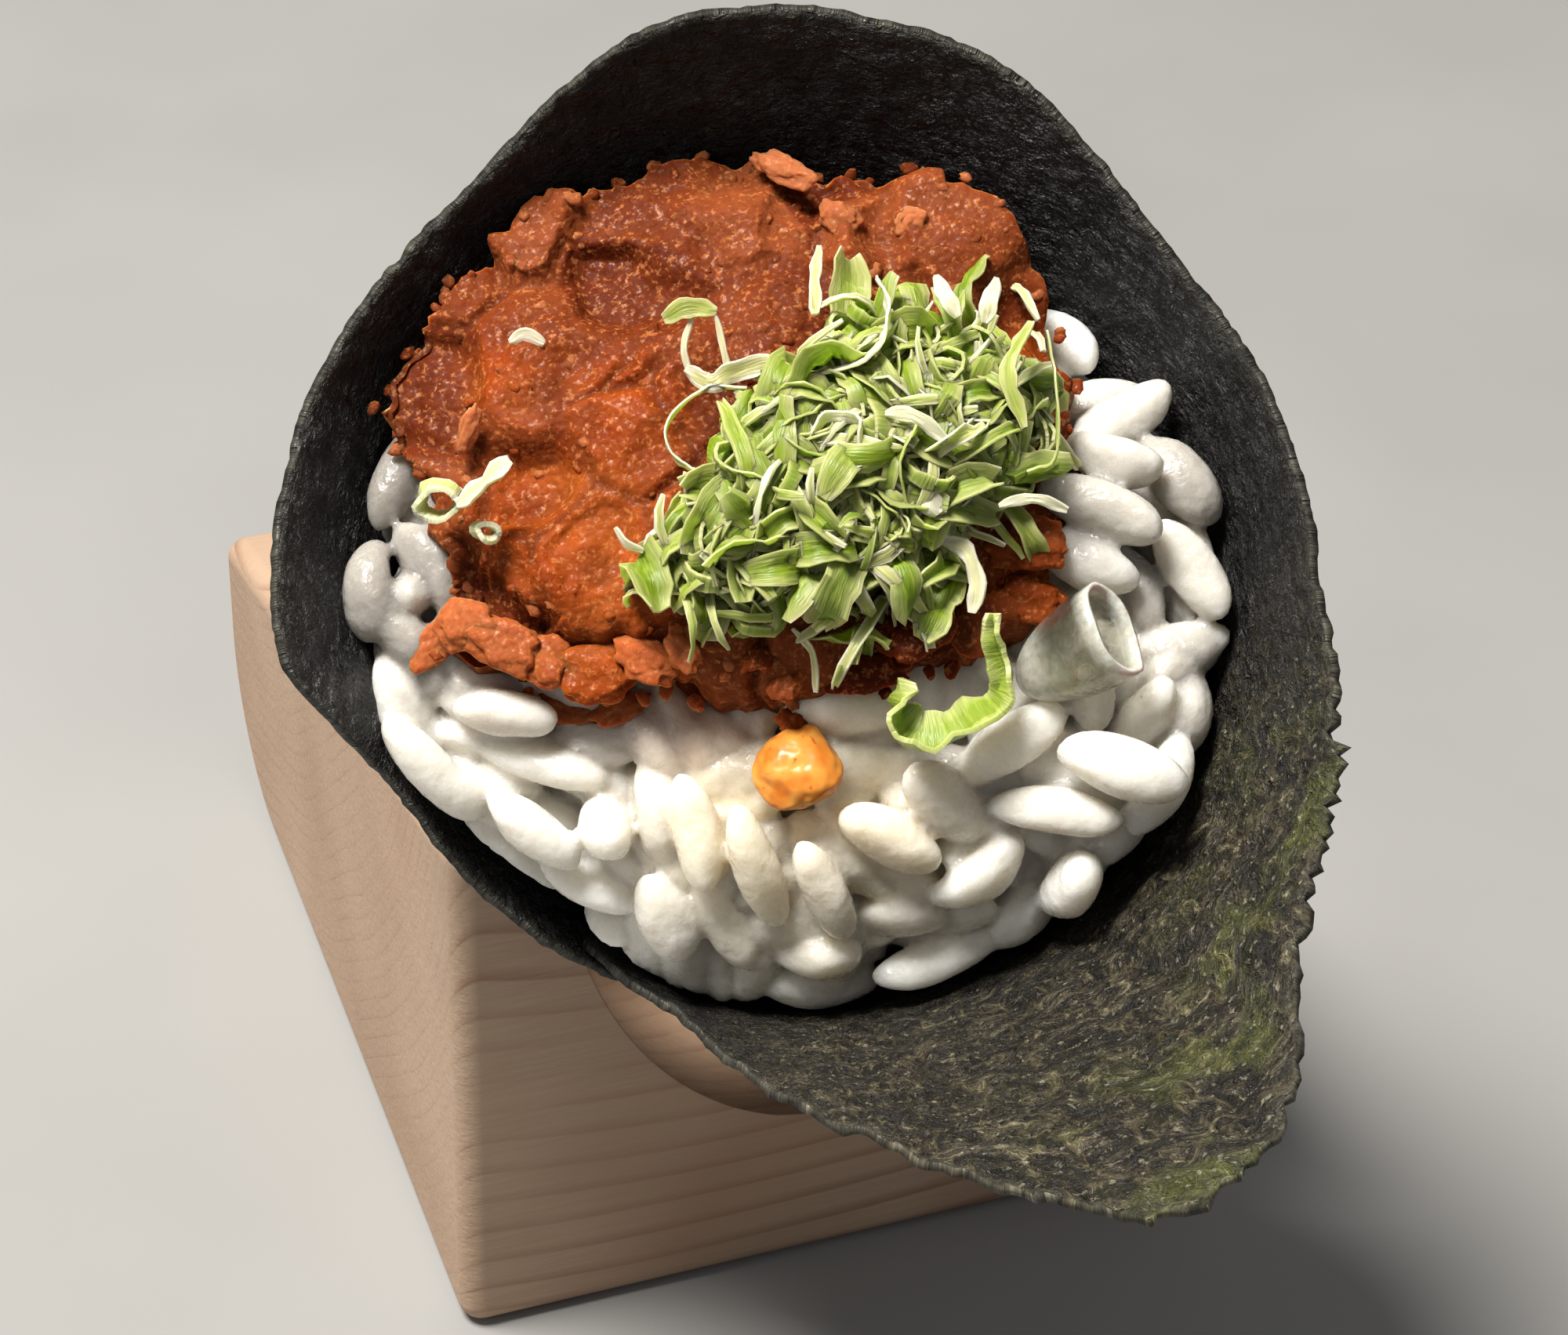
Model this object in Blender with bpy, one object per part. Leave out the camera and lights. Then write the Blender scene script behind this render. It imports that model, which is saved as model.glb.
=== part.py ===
"""Temaki hand roll standing in its slanted wooden holder.

Frame: metres, +Z up, origin at the middle of the holder's underside.
+X runs along the holder's front, -Y is the front that the roll leans over.
"""
import math

import bmesh
import bpy
from mathutils import Matrix, Vector, noise

MM = 0.001
GAP = 0.35 * MM                # clearance between the layers of the sheet
FILLING_GAP = 0.5 * MM         # and between the filling and the creased sheet
SHARP_ANGLE = math.radians(35)  # edges sharper than this stay crisp

# Holder: a planed softwood block whose top falls away to the back.
HOLDER_WIDTH = 53 * MM
HOLDER_DEPTH = 67 * MM
HOLDER_FRONT_HEIGHT = 41.5 * MM
HOLDER_BACK_HEIGHT = 20.5 * MM
HOLDER_EDGE_ROUND = 1.6 * MM
HOLDER_EDGE_STEPS = 3
HOLDER_EDGE_ANGLE = math.radians(40)
HOLDER_HEEL_ROUND = 12 * MM    # the lower edge at the back is taken off round
HEEL_STEPS = 7

# Bore: drilled through the top front edge, and tapering to a flat end.
BORE_RADIUS = 20 * MM
BORE_SHIFT = 0.6 * MM          # the bore sits a little right of the middle
BORE_SLOPE = math.radians(46)
BORE_STRAIGHT = 20 * MM        # depth of the straight part below the edge
BORE_DEPTH = 41.5 * MM
BORE_END_RADIUS = 11.5 * MM
BORE_SIDES = 48
BORE_CUTTER_REACH = 50 * MM    # the cutter runs this far out of the block

# Roll: a cone of seaweed on a slanted axis, measured from its tail point.
TAIL = Vector((7.5, -9.5, 10.0)) * MM
ROLL_TURN = math.radians(-26)  # the axis swings to the left of the front
ROLL_RISE = math.radians(55.8)
TAIL_RADIUS = 2 * MM           # cone radius at the tail point
CONE_HALF_ANGLE = math.radians(21.5)
TAIL_START = 2.5 * MM          # the sheet starts a little above that point

# Seaweed sheet. It starts at the lower left of the mouth, runs round by the
# right and the back, and its end passes outside the start.
NORI_THICKNESS = 0.6 * MM
NORI_START = -122              # degrees round the axis, 0 at the right
NORI_END = 262
NORI_COLUMNS = 64
NORI_ROWS = 12
NORI_ROW_SPACING = 0.85        # below 1 it sets the rows closer near the rim
LAP_START = 192                # degrees where the end starts to move outside
LAP_LEAD = 43                  # degrees over which it gets there
LAP_OFFSET = NORI_THICKNESS + GAP
FLARE_START = 46 * MM          # height above which the loose corner opens
FLARE_POWER = 1.8
LEAN_SIDE = 214                # degrees: here the roll leans on the bore's edge
LEAN_REACH = 48                # degrees to each side that the sheet is pressed in
LEAN_DEPTH = 3.9 * MM
LEAN_HEIGHT = 45 * MM          # height of the edge along the axis
# Rim of the sheet: degrees, height along the axis in mm, flare in mm.
RIM = (
    (-122, 49.0, 0.0),
    (-103, 53.0, 0.1),
    (-89, 62.0, 1.7),
    (-77, 69.0, 3.8),
    (-66, 75.0, 7.6),
    (-55, 79.0, 11.3),         # tip of the loose corner
    (-48, 77.5, 11.4),
    (-42, 75.5, 9.8),
    (-35, 72.5, 6.2),
    (-14, 70.5, 3.0),
    (6, 70.0, 0.0),
    (42, 68.8, 0.0),
    (80, 74.8, 0.0),
    (104, 75.6, 0.0),
    (139, 69.9, 0.0),
    (171, 69.3, 0.0),
    (196, 68.6, 0.0),
    (208, 58.6, 0.0),
    (221, 54.1, 0.0),
    (239, 49.0, 0.0),
    (262, 41.0, 0.0),
)

# Rice bed: degrees, height where it leaves the wall, plateau height, in mm.
RICE_START = 4 * MM
RICE_COLUMNS = 48
RICE_WALL_ROWS = 5
RICE_TOP_ROWS = 8
RICE_BUMP = 0.9 * MM
RICE_GRAIN = 6 * MM            # spacing of the bumps
RICE_SHOULDER = 4              # power of the edge's fall to the wall
RICE_LEVEL = 61 * MM           # middle of the bed
RICE_DENT_SHARE = 1.12         # the rice gives way a little more than the sheet
RICE_EDGE = (
    (-180, 65.0, 62.0),
    (-150, 55.0, 61.0),
    (-122, 46.0, 60.5),
    (-85, 46.0, 60.5),
    (-45, 51.0, 61.0),
    (-15, 60.0, 61.5),
    (30, 61.0, 61.5),
    (90, 60.0, 61.0),
    (150, 64.0, 61.5),
    (180, 65.0, 62.0),
)

# Minced tuna: outline about its own centre, degrees and mm.
TUNA_CENTRE = (-5.0, 9.0)
TUNA_COLUMNS = 44
TUNA_ROWS = 7
TUNA_TOP = 67.5 * MM
TUNA_CROWN = 1.5 * MM
TUNA_BUMP = 1.1 * MM
TUNA_LUMP = 7 * MM
TUNA_LIFT = 0.8 * MM           # clear of the bumps of the rice
TUNA_EDGE_FALL = 4.0 * MM      # from the crown to its free edge
TUNA_WALL_FALL = 0.4 * MM      # and to where it leans on the sheet
TUNA_WALL_SHARE = 0.7          # share of the mouth's radius where that starts
TUNA_SHOULDER = 5
HEAP_LEVEL = TUNA_TOP - 0.7 * MM  # height where a heap's outline meets the sheet
HEAP_FOOT = 0.97               # the foot of a heap is a little smaller
HEAP_ROW_SPACING = 1.5
TUNA_OUTLINE = (
    (-180, 21.5),
    (-163, 17.5),
    (-146, 18.0),
    (-134, 21.0),
    (-110, 16.6),
    (-85, 15.9),
    (-50, 18.0),
    (-22, 21.0),
    (10, 20.9),
    (40, 21.4),
    (65, 19.0),
    (90, 17.2),
    (118, 17.8),
    (145, 17.6),
    (165, 21.0),
    (180, 21.5),
)

# Heap of sliced scallion on the tuna: outline about its centre.
SCALLION_CENTRE = (3.3, 6.0)
SCALLION_COLUMNS = 30
SCALLION_ROWS = 5
SCALLION_HEIGHT = 4.2 * MM
SCALLION_BUMP = 0.9 * MM
SCALLION_LUMP = 4 * MM
SCALLION_LIFT = 0.8 * MM       # clear of the tuna
SCALLION_OVER_RICE = 1.0 * MM  # and this much more where it hangs over the rice
SCALLION_EDGE = 1.2 * MM       # thickness of the heap's edge
SCALLION_SHOULDER = 3
SCALLION_OUTLINE = (
    (-180, 10.5),
    (-140, 11.5),
    (-90, 10.5),
    (-45, 6.5),
    (0, 10.0),
    (40, 13.0),
    (75, 13.0),
    (115, 8.5),
    (155, 6.0),
    (180, 10.5),
)

# Loose pieces that lie on the rice: place across and up the mouth, in mm.
CURL_PLACE = (9.3, -5.6)
CURL_RADIUS = 3.1 * MM
CURL_WIDTH = 2.6 * MM
CURL_WALL = 0.8 * MM
CURL_START = 150               # degrees
CURL_SWEEP = 210
CURL_STEPS = 14
CURL_END_SHARE = 0.6           # width of its ends
CURL_LIFT = 5.4 * MM
ONION_PLACE = (16.4, -1.9)
ONION_LENGTH = 7.6 * MM
ONION_WIDTH = 5.2 * MM
ONION_WALL = 0.9 * MM
ONION_HEIGHT = 2.4 * MM
ONION_TURN = math.radians(35)
ONION_SIDES = 24
ONION_WALL_SIDES = 8
ONION_LIFT = 4.6 * MM
DROP_PLACE = (1.5, -9.9)
DROP_SIZE = (2.5, 2.2, 1.5)    # half sizes across, up the mouth and proud, in mm
DROP_LIFT = 2.2 * MM
DROP_SIDES = 20
DROP_RINGS = 10


def roll_matrix():
    """Frame of the roll: x across the mouth, y up its back, z along the axis."""
    axis = Vector((
        math.sin(ROLL_TURN) * math.cos(ROLL_RISE),
        -math.cos(ROLL_TURN) * math.cos(ROLL_RISE),
        math.sin(ROLL_RISE),
    ))
    across = Vector((math.cos(ROLL_TURN), math.sin(ROLL_TURN), 0))
    frame = Matrix((across, axis.cross(across), axis)).transposed()
    return Matrix.Translation(TAIL) @ frame.to_4x4()


def table_value(table, key, column):
    """Smooth value between the rows of a table, level at each high and low."""
    rows = len(table)
    last = next((i for i in range(1, rows) if key <= table[i][0]), rows - 1)
    first = last - 1

    def slope(i):
        if i == 0 or i == rows - 1:
            return 0.0
        before = table[i][column] - table[i - 1][column]
        after = table[i + 1][column] - table[i][column]
        if before * after <= 0:
            return 0.0
        run_before = table[i][0] - table[i - 1][0]
        run_after = table[i + 1][0] - table[i][0]
        return 2 / (run_before / before + run_after / after)

    run = table[last][0] - table[first][0]
    t = min(max((key - table[first][0]) / run, 0.0), 1.0)
    start, end = table[first][column], table[last][column]
    return (
        start * (1 + 2 * t) * (1 - t) ** 2
        + end * (3 - 2 * t) * t ** 2
        + slope(first) * run * t * (1 - t) ** 2
        - slope(last) * run * t ** 2 * (1 - t)
    )


def wrap_degrees(angle):
    return (angle + 180) % 360 - 180


def cone_radius(height):
    return TAIL_RADIUS + height * math.tan(CONE_HALF_ANGLE)


def lean_dent(degrees, height, rim):
    """How far the holder's edge presses the sheet in, none at tail and rim."""
    away = abs(wrap_degrees(degrees - LEAN_SIDE)) / LEAN_REACH
    if away >= 1 or height >= rim:
        return 0.0
    rising = max(height, 0.0) / LEAN_HEIGHT
    falling = (rim - height) / max(rim - LEAN_HEIGHT, 1 * MM)
    share = min(rising, falling, 1.0)
    return LEAN_DEPTH * math.cos(math.pi / 2 * away) ** 2 * share


def lap_offset(degrees):
    """How far the sheet's end has moved outside its start."""
    t = min(max((degrees - LAP_START) / LAP_LEAD, 0.0), 1.0)
    return LAP_OFFSET * t * t * (3 - 2 * t)


def polar(radius, degrees, height):
    angle = math.radians(degrees)
    return Vector((radius * math.cos(angle), radius * math.sin(angle), height))


def unevenness(x, y, spacing, seed):
    """Bumps between -1 and 1, the same on each run."""
    return noise.noise(Vector((x / spacing, y / spacing, seed)))


def material(name, colour, roughness):
    made = bpy.data.materials.new(name)
    made.use_nodes = True
    shader = made.node_tree.nodes["Principled BSDF"]
    shader.inputs["Base Color"].default_value = (*colour, 1)
    shader.inputs["Roughness"].default_value = roughness
    shader.inputs["Metallic"].default_value = 0
    return made


def add_object(name, bm, finish, matrix=Matrix()):
    bmesh.ops.recalc_face_normals(bm, faces=bm.faces)
    mesh = bpy.data.meshes.new(name)
    bm.to_mesh(mesh)
    bm.free()
    mesh.materials.append(finish)
    mesh.shade_smooth()
    mesh.set_sharp_from_angle(angle=SHARP_ANGLE)
    made = bpy.data.objects.new(name, mesh)
    made.matrix_world = matrix
    bpy.context.collection.objects.link(made)
    return made


def add_cutter(name, bm, matrix):
    bmesh.ops.recalc_face_normals(bm, faces=bm.faces)
    mesh = bpy.data.meshes.new(name)
    bm.to_mesh(mesh)
    bm.free()
    cutter = bpy.data.objects.new(name, mesh)
    cutter.matrix_world = matrix
    cutter.hide_render = True
    cutter.display_type = "WIRE"
    bpy.context.collection.objects.link(cutter)
    return cutter


def skin_rings(bm, rings, closed_ends=True):
    """Join rings of points into a tube, with a fan over each end."""
    loops = [[bm.verts.new(point) for point in ring] for ring in rings]
    count = len(loops[0])
    for lower, upper in zip(loops, loops[1:]):
        for i in range(count):
            j = (i + 1) % count
            bm.faces.new((lower[i], lower[j], upper[j], upper[i]))
    if closed_ends:
        for loop in (loops[0], loops[-1]):
            middle = sum((v.co for v in loop), Vector()) / count
            tip = bm.verts.new(middle)
            for i in range(count):
                bm.faces.new((loop[i], loop[(i + 1) % count], tip))
    return loops


# ---- Holder ---------------------------------------------------------------

def holder_profile():
    """Side outline of the block, from the front foot round by the top."""
    front = -HOLDER_DEPTH / 2
    back = HOLDER_DEPTH / 2
    outline = [
        (front, 0.0),
        (front, HOLDER_FRONT_HEIGHT),
        (back, HOLDER_BACK_HEIGHT),
    ]
    for step in range(HEEL_STEPS + 1):
        angle = math.radians(90 * step / HEEL_STEPS)
        outline.append((
            back - HOLDER_HEEL_ROUND * (1 - math.cos(angle)),
            HOLDER_HEEL_ROUND * (1 - math.sin(angle)),
        ))
    return outline


def bore_cutter():
    """Straight bore with a tapered end, its mouth centred on the top edge."""
    bm = bmesh.new()
    profile = (
        (BORE_RADIUS, BORE_CUTTER_REACH),
        (BORE_RADIUS, -BORE_STRAIGHT),
        (BORE_END_RADIUS, -BORE_DEPTH),
    )
    rings = []
    for radius, height in profile:
        rings.append([
            polar(radius, 360 * i / BORE_SIDES, height) for i in range(BORE_SIDES)
        ])
    skin_rings(bm, rings)
    edge = Matrix.Translation((BORE_SHIFT, -HOLDER_DEPTH / 2, HOLDER_FRONT_HEIGHT))
    lean = Matrix.Rotation(math.pi / 2 - BORE_SLOPE, 4, "X")
    return add_cutter("bore_cutter", bm, edge @ lean)


def make_holder():
    bm = bmesh.new()
    side = -HOLDER_WIDTH / 2
    outline = [bm.verts.new((side, y, z)) for y, z in holder_profile()]
    face = bm.faces.new(outline)
    grown = bmesh.ops.extrude_face_region(bm, geom=[face])
    verts = [item for item in grown["geom"] if isinstance(item, bmesh.types.BMVert)]
    bmesh.ops.translate(bm, verts=verts, vec=(HOLDER_WIDTH, 0, 0))
    wood = material("planed_softwood", (0.62, 0.45, 0.30), 0.6)
    holder = add_object("holder", bm, wood)
    bevel = holder.modifiers.new("rounded_edges", "BEVEL")
    bevel.width = HOLDER_EDGE_ROUND
    bevel.segments = HOLDER_EDGE_STEPS
    bevel.limit_method = "ANGLE"
    bevel.angle_limit = HOLDER_EDGE_ANGLE
    cut = holder.modifiers.new("slanted_bore", "BOOLEAN")
    cut.operation = "DIFFERENCE"
    cut.solver = "EXACT"
    cut.object = bore_cutter()
    return holder


# ---- Seaweed --------------------------------------------------------------

def sheet_point(degrees, fraction):
    """Point on the middle of the sheet: round the axis, then tail to rim."""
    rim = table_value(RIM, degrees, 1) * MM
    flare = table_value(RIM, degrees, 2) * MM
    height = TAIL_START + (rim - TAIL_START) * fraction
    radius = cone_radius(height) + lap_offset(degrees)
    radius -= lean_dent(degrees, height, rim)
    if flare > 0 and height > FLARE_START:
        opening = (height - FLARE_START) / (rim - FLARE_START)
        radius += flare * opening ** FLARE_POWER
    return polar(radius, degrees, height)


def make_nori():
    bm = bmesh.new()
    grid = []
    for column in range(NORI_COLUMNS + 1):
        degrees = NORI_START + (NORI_END - NORI_START) * column / NORI_COLUMNS
        line = []
        for row in range(NORI_ROWS + 1):
            fraction = (row / NORI_ROWS) ** NORI_ROW_SPACING
            line.append(bm.verts.new(sheet_point(degrees, fraction)))
        grid.append(line)
    for left, right in zip(grid, grid[1:]):
        for row in range(NORI_ROWS):
            bm.faces.new((left[row], right[row], right[row + 1], left[row + 1]))
    seaweed = material("roasted_seaweed", (0.018, 0.018, 0.014), 0.55)
    nori = add_object("nori", bm, seaweed, roll_matrix())
    wall = nori.modifiers.new("sheet_thickness", "SOLIDIFY")
    wall.thickness = NORI_THICKNESS
    wall.offset = 0
    return nori


# ---- Rice -----------------------------------------------------------------

def wall_radius(height):
    """Largest radius of a filling that keeps clear of the sheet."""
    inset = (NORI_THICKNESS / 2 + FILLING_GAP) / math.cos(CONE_HALF_ANGLE)
    return cone_radius(height) - inset


def rice_top(x, y):
    """Height of the rice bed at a place across the mouth."""
    degrees = math.degrees(math.atan2(y, x))
    edge = table_value(RICE_EDGE, degrees, 1) * MM
    plateau = table_value(RICE_EDGE, degrees, 2) * MM
    share = min(math.hypot(x, y) / wall_radius(edge), 1.0)
    level = RICE_LEVEL + (plateau - RICE_LEVEL) * share
    fall = share ** RICE_SHOULDER
    bump = RICE_BUMP * unevenness(x, y, RICE_GRAIN, 3.0) * (1 - fall)
    return level + (edge - level) * fall + bump


def rice_dent(degrees, height):
    """The rice follows the seaweed where that is pressed in."""
    turned = degrees if degrees >= NORI_START else degrees + 360
    rim = table_value(RIM, turned, 1) * MM
    return RICE_DENT_SHARE * lean_dent(degrees, height, rim)


def make_rice():
    bm = bmesh.new()
    rings = []
    columns = [wrap_degrees(360 * i / RICE_COLUMNS) for i in range(RICE_COLUMNS)]
    edges = [table_value(RICE_EDGE, degrees, 1) * MM for degrees in columns]
    for row in range(RICE_WALL_ROWS + 1):
        fraction = row / RICE_WALL_ROWS
        ring = []
        for degrees, edge in zip(columns, edges):
            height = RICE_START + (edge - RICE_START) * fraction
            radius = wall_radius(height) - rice_dent(degrees, height)
            ring.append(polar(radius, degrees, height))
        rings.append(ring)
    for row in range(1, RICE_TOP_ROWS):
        share = math.cos(math.pi / 2 * row / RICE_TOP_ROWS)
        ring = []
        for degrees, edge in zip(columns, edges):
            reach = wall_radius(edge) - rice_dent(degrees, edge)
            flat = polar(reach * share, degrees, 0)
            ring.append(Vector((flat.x, flat.y, rice_top(flat.x, flat.y))))
        rings.append(ring)
    skin_rings(bm, rings)
    finish = material("cooked_rice", (0.72, 0.68, 0.60), 0.35)
    return add_object("rice", bm, finish, roll_matrix())


# ---- Toppings -------------------------------------------------------------

def outline_radius(table, degrees, centre, height):
    """Outline of a heap, kept inside the seaweed at the heap's height."""
    reach = table_value(table, wrap_degrees(degrees), 1) * MM
    limit = wall_radius(height)
    ray = polar(1, degrees, 0)
    along = centre[0] * ray.x + centre[1] * ray.y
    across = centre[0] ** 2 + centre[1] ** 2 - along ** 2
    return min(reach, math.sqrt(limit ** 2 - across) - along)


def tuna_top(x, y):
    """Height of the minced tuna, from its crown down to its edge."""
    centre = [value * MM for value in TUNA_CENTRE]
    dx, dy = x - centre[0], y - centre[1]
    degrees = math.degrees(math.atan2(dy, dx))
    reach = outline_radius(TUNA_OUTLINE, degrees, centre, TUNA_TOP)
    share = min(math.hypot(dx, dy) / reach, 1.0)
    bump = TUNA_BUMP * unevenness(x, y, TUNA_LUMP, 8.0)
    past = math.hypot(x, y) / wall_radius(TUNA_TOP) - TUNA_WALL_SHARE
    near_wall = max(past, 0.0) / (1 - TUNA_WALL_SHARE)
    fall = TUNA_EDGE_FALL + (TUNA_WALL_FALL - TUNA_EDGE_FALL) * near_wall
    crown = TUNA_CROWN * (1 - share ** 2)
    return TUNA_TOP + crown + bump - fall * share ** TUNA_SHOULDER


def make_heap(name, finish, centre, outline, columns, rows, floor, top):
    """Closed heap between a floor and a top surface inside an outline."""
    bm = bmesh.new()
    middle = [value * MM for value in centre]
    angles = [360 * i / columns for i in range(columns)]
    under = [i / rows for i in range(1, rows)] + [HEAP_FOOT]
    over = [1 - (i / rows) ** HEAP_ROW_SPACING for i in range(rows)]
    rings = []
    for surface, height, shares in (
        (floor, RICE_LEVEL, under),
        (top, HEAP_LEVEL, over),
    ):
        reaches = [outline_radius(outline, angle, middle, height) for angle in angles]
        for share in shares:
            ring = []
            for angle, reach in zip(angles, reaches):
                flat = polar(reach * share, angle, 0)
                x, y = flat.x + middle[0], flat.y + middle[1]
                ring.append(Vector((x, y, surface(x, y))))
            rings.append(ring)
    skin_rings(bm, rings)
    return add_object(name, bm, finish, roll_matrix())


def make_tuna():
    def floor(x, y):
        return rice_top(x, y) + TUNA_LIFT

    finish = material("minced_tuna", (0.52, 0.16, 0.06), 0.35)
    return make_heap(
        "tuna", finish, TUNA_CENTRE, TUNA_OUTLINE, TUNA_COLUMNS, TUNA_ROWS,
        floor, tuna_top,
    )


def scallion_floor(x, y):
    ground = max(tuna_top(x, y), rice_top(x, y) + SCALLION_OVER_RICE)
    return ground + SCALLION_LIFT


def scallion_top(x, y):
    dx, dy = x - SCALLION_CENTRE[0] * MM, y - SCALLION_CENTRE[1] * MM
    degrees = wrap_degrees(math.degrees(math.atan2(dy, dx)))
    reach = table_value(SCALLION_OUTLINE, degrees, 1) * MM
    share = min(math.hypot(dx, dy) / reach, 1.0)
    bump = SCALLION_BUMP * unevenness(x, y, SCALLION_LUMP, 21.0)
    crown = SCALLION_HEIGHT * (1 - share ** SCALLION_SHOULDER)
    return scallion_floor(x, y) + SCALLION_EDGE + crown + bump


def make_scallions():
    finish = material("sliced_scallion", (0.36, 0.45, 0.09), 0.45)
    return make_heap(
        "scallions", finish, SCALLION_CENTRE, SCALLION_OUTLINE,
        SCALLION_COLUMNS, SCALLION_ROWS, scallion_floor, scallion_top,
    )


def resting_matrix(place, lift):
    """Frame of a loose piece that lies on the rice."""
    x, y = (value * MM for value in place)
    return roll_matrix() @ Matrix.Translation((x, y, rice_top(x, y) + lift))


def make_curl():
    """Part of a scallion ring, lying on its cut edge."""
    bm = bmesh.new()
    rings = []
    for step in range(CURL_STEPS + 1):
        angle = CURL_START + CURL_SWEEP * step / CURL_STEPS
        middle = math.sin(math.pi * step / CURL_STEPS)
        half_width = CURL_WIDTH / 2 * (CURL_END_SHARE + (1 - CURL_END_SHARE) * middle)
        rings.append([
            polar(CURL_RADIUS - CURL_WALL / 2, angle, -half_width),
            polar(CURL_RADIUS + CURL_WALL / 2, angle, -half_width),
            polar(CURL_RADIUS + CURL_WALL / 2, angle, half_width),
            polar(CURL_RADIUS - CURL_WALL / 2, angle, half_width),
        ])
    skin_rings(bm, rings)
    finish = material("scallion_green", (0.42, 0.50, 0.13), 0.4)
    return add_object("scallion_curl", bm, finish, resting_matrix(CURL_PLACE, CURL_LIFT))


def make_onion_ring():
    """Long ring cut from the pale stem, with a rounded wall."""
    bm = bmesh.new()
    rings = []
    for side in range(ONION_WALL_SIDES):
        turn = 2 * math.pi * side / ONION_WALL_SIDES
        inset = ONION_WALL / 2 * (1 - math.cos(turn))
        height = ONION_HEIGHT / 2 * math.sin(turn)
        ring = []
        for i in range(ONION_SIDES):
            angle = 2 * math.pi * i / ONION_SIDES
            ring.append(Vector((
                (ONION_LENGTH / 2 - inset) * math.cos(angle),
                (ONION_WIDTH / 2 - inset) * math.sin(angle),
                height,
            )))
        rings.append(ring)
    loops = skin_rings(bm, rings, closed_ends=False)
    for i in range(ONION_SIDES):
        j = (i + 1) % ONION_SIDES
        bm.faces.new((loops[-1][i], loops[-1][j], loops[0][j], loops[0][i]))
    finish = material("pale_stem", (0.62, 0.60, 0.50), 0.25)
    turn = Matrix.Rotation(ONION_TURN, 4, "Z")
    matrix = resting_matrix(ONION_PLACE, ONION_LIFT) @ turn
    return add_object("onion_ring", bm, finish, matrix)


def make_sauce_drop():
    bm = bmesh.new()
    bmesh.ops.create_uvsphere(bm, u_segments=DROP_SIDES, v_segments=DROP_RINGS, radius=1)
    size = [half * MM for half in DROP_SIZE]
    bmesh.ops.scale(bm, verts=bm.verts, vec=size)
    finish = material("orange_sauce", (0.72, 0.30, 0.06), 0.15)
    return add_object("sauce_drop", bm, finish, resting_matrix(DROP_PLACE, DROP_LIFT))


def main():
    for old in list(bpy.data.objects):
        bpy.data.objects.remove(old)
    make_holder()
    make_nori()
    make_rice()
    make_tuna()
    make_scallions()
    make_curl()
    make_onion_ring()
    make_sauce_drop()


main()
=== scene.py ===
import math
import random

import bmesh
import bpy
import numpy as np
from mathutils import Euler, Matrix, Vector, noise
from mathutils.bvhtree import BVHTree
from mathutils.kdtree import KDTree


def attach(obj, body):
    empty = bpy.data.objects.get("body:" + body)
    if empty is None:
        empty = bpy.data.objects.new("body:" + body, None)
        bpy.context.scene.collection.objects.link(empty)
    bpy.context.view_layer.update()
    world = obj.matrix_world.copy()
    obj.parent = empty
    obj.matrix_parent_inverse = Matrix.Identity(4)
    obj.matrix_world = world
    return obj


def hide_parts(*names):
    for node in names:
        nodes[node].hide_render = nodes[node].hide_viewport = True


# Temaki hand roll: a seaweed cone of rice, minced tuna and scallion in a wooden block.
# Pieces are shaped in millimetres. Those of the roll are shaped in the roll's own
# frame: x across the mouth, y up its back, z along the cone's axis from its tail.

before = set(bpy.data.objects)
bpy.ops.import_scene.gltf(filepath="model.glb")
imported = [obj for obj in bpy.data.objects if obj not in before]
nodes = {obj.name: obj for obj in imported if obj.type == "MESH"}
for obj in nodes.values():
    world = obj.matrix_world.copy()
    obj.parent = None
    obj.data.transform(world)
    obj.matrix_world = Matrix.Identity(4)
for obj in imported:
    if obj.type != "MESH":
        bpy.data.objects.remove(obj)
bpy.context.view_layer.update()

MM = 0.001
TAU = 2 * math.pi

# ---- Driving sizes, in mm and degrees ---------------------------------------

TAIL = (7.5, -9.5, 10.0)
ROLL_TURN = -26
ROLL_RISE = 55.8
TAIL_RADIUS = 2
CONE_HALF_ANGLE = 21.5
TAIL_START = 2.5

SHEET_START = -122
SHEET_END = 262
SHEET_THICKNESS = 0.5
SHEET_COLUMNS = 500
SHEET_ROWS = 96
SHEET_ROW_SPACING = 0.85       # below 1, so that the rows lie closer towards the rim
SHEET_CLEARANCE = 0.8          # of what lies in the mouth, from the cone's own surface
LAP_START = 192
LAP_LEAD = 43
LAP_OFFSET = 0.95
FLARE_START = 46
FLARE_POWER = 1.8
LEAN_SIDE = 214
LEAN_REACH = 48
LEAN_DEPTH = 3.9
LEAN_HEIGHT = 45
LEAN_RIM = 62
FLAP_MIDDLE = -48
FLAP_REACH = (24, 62)
OLIVE_MIDDLE = -36
OLIVE_REACH = (14, 34)
SHEET_WIDTH_PER_RADIAN = 26
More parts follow.
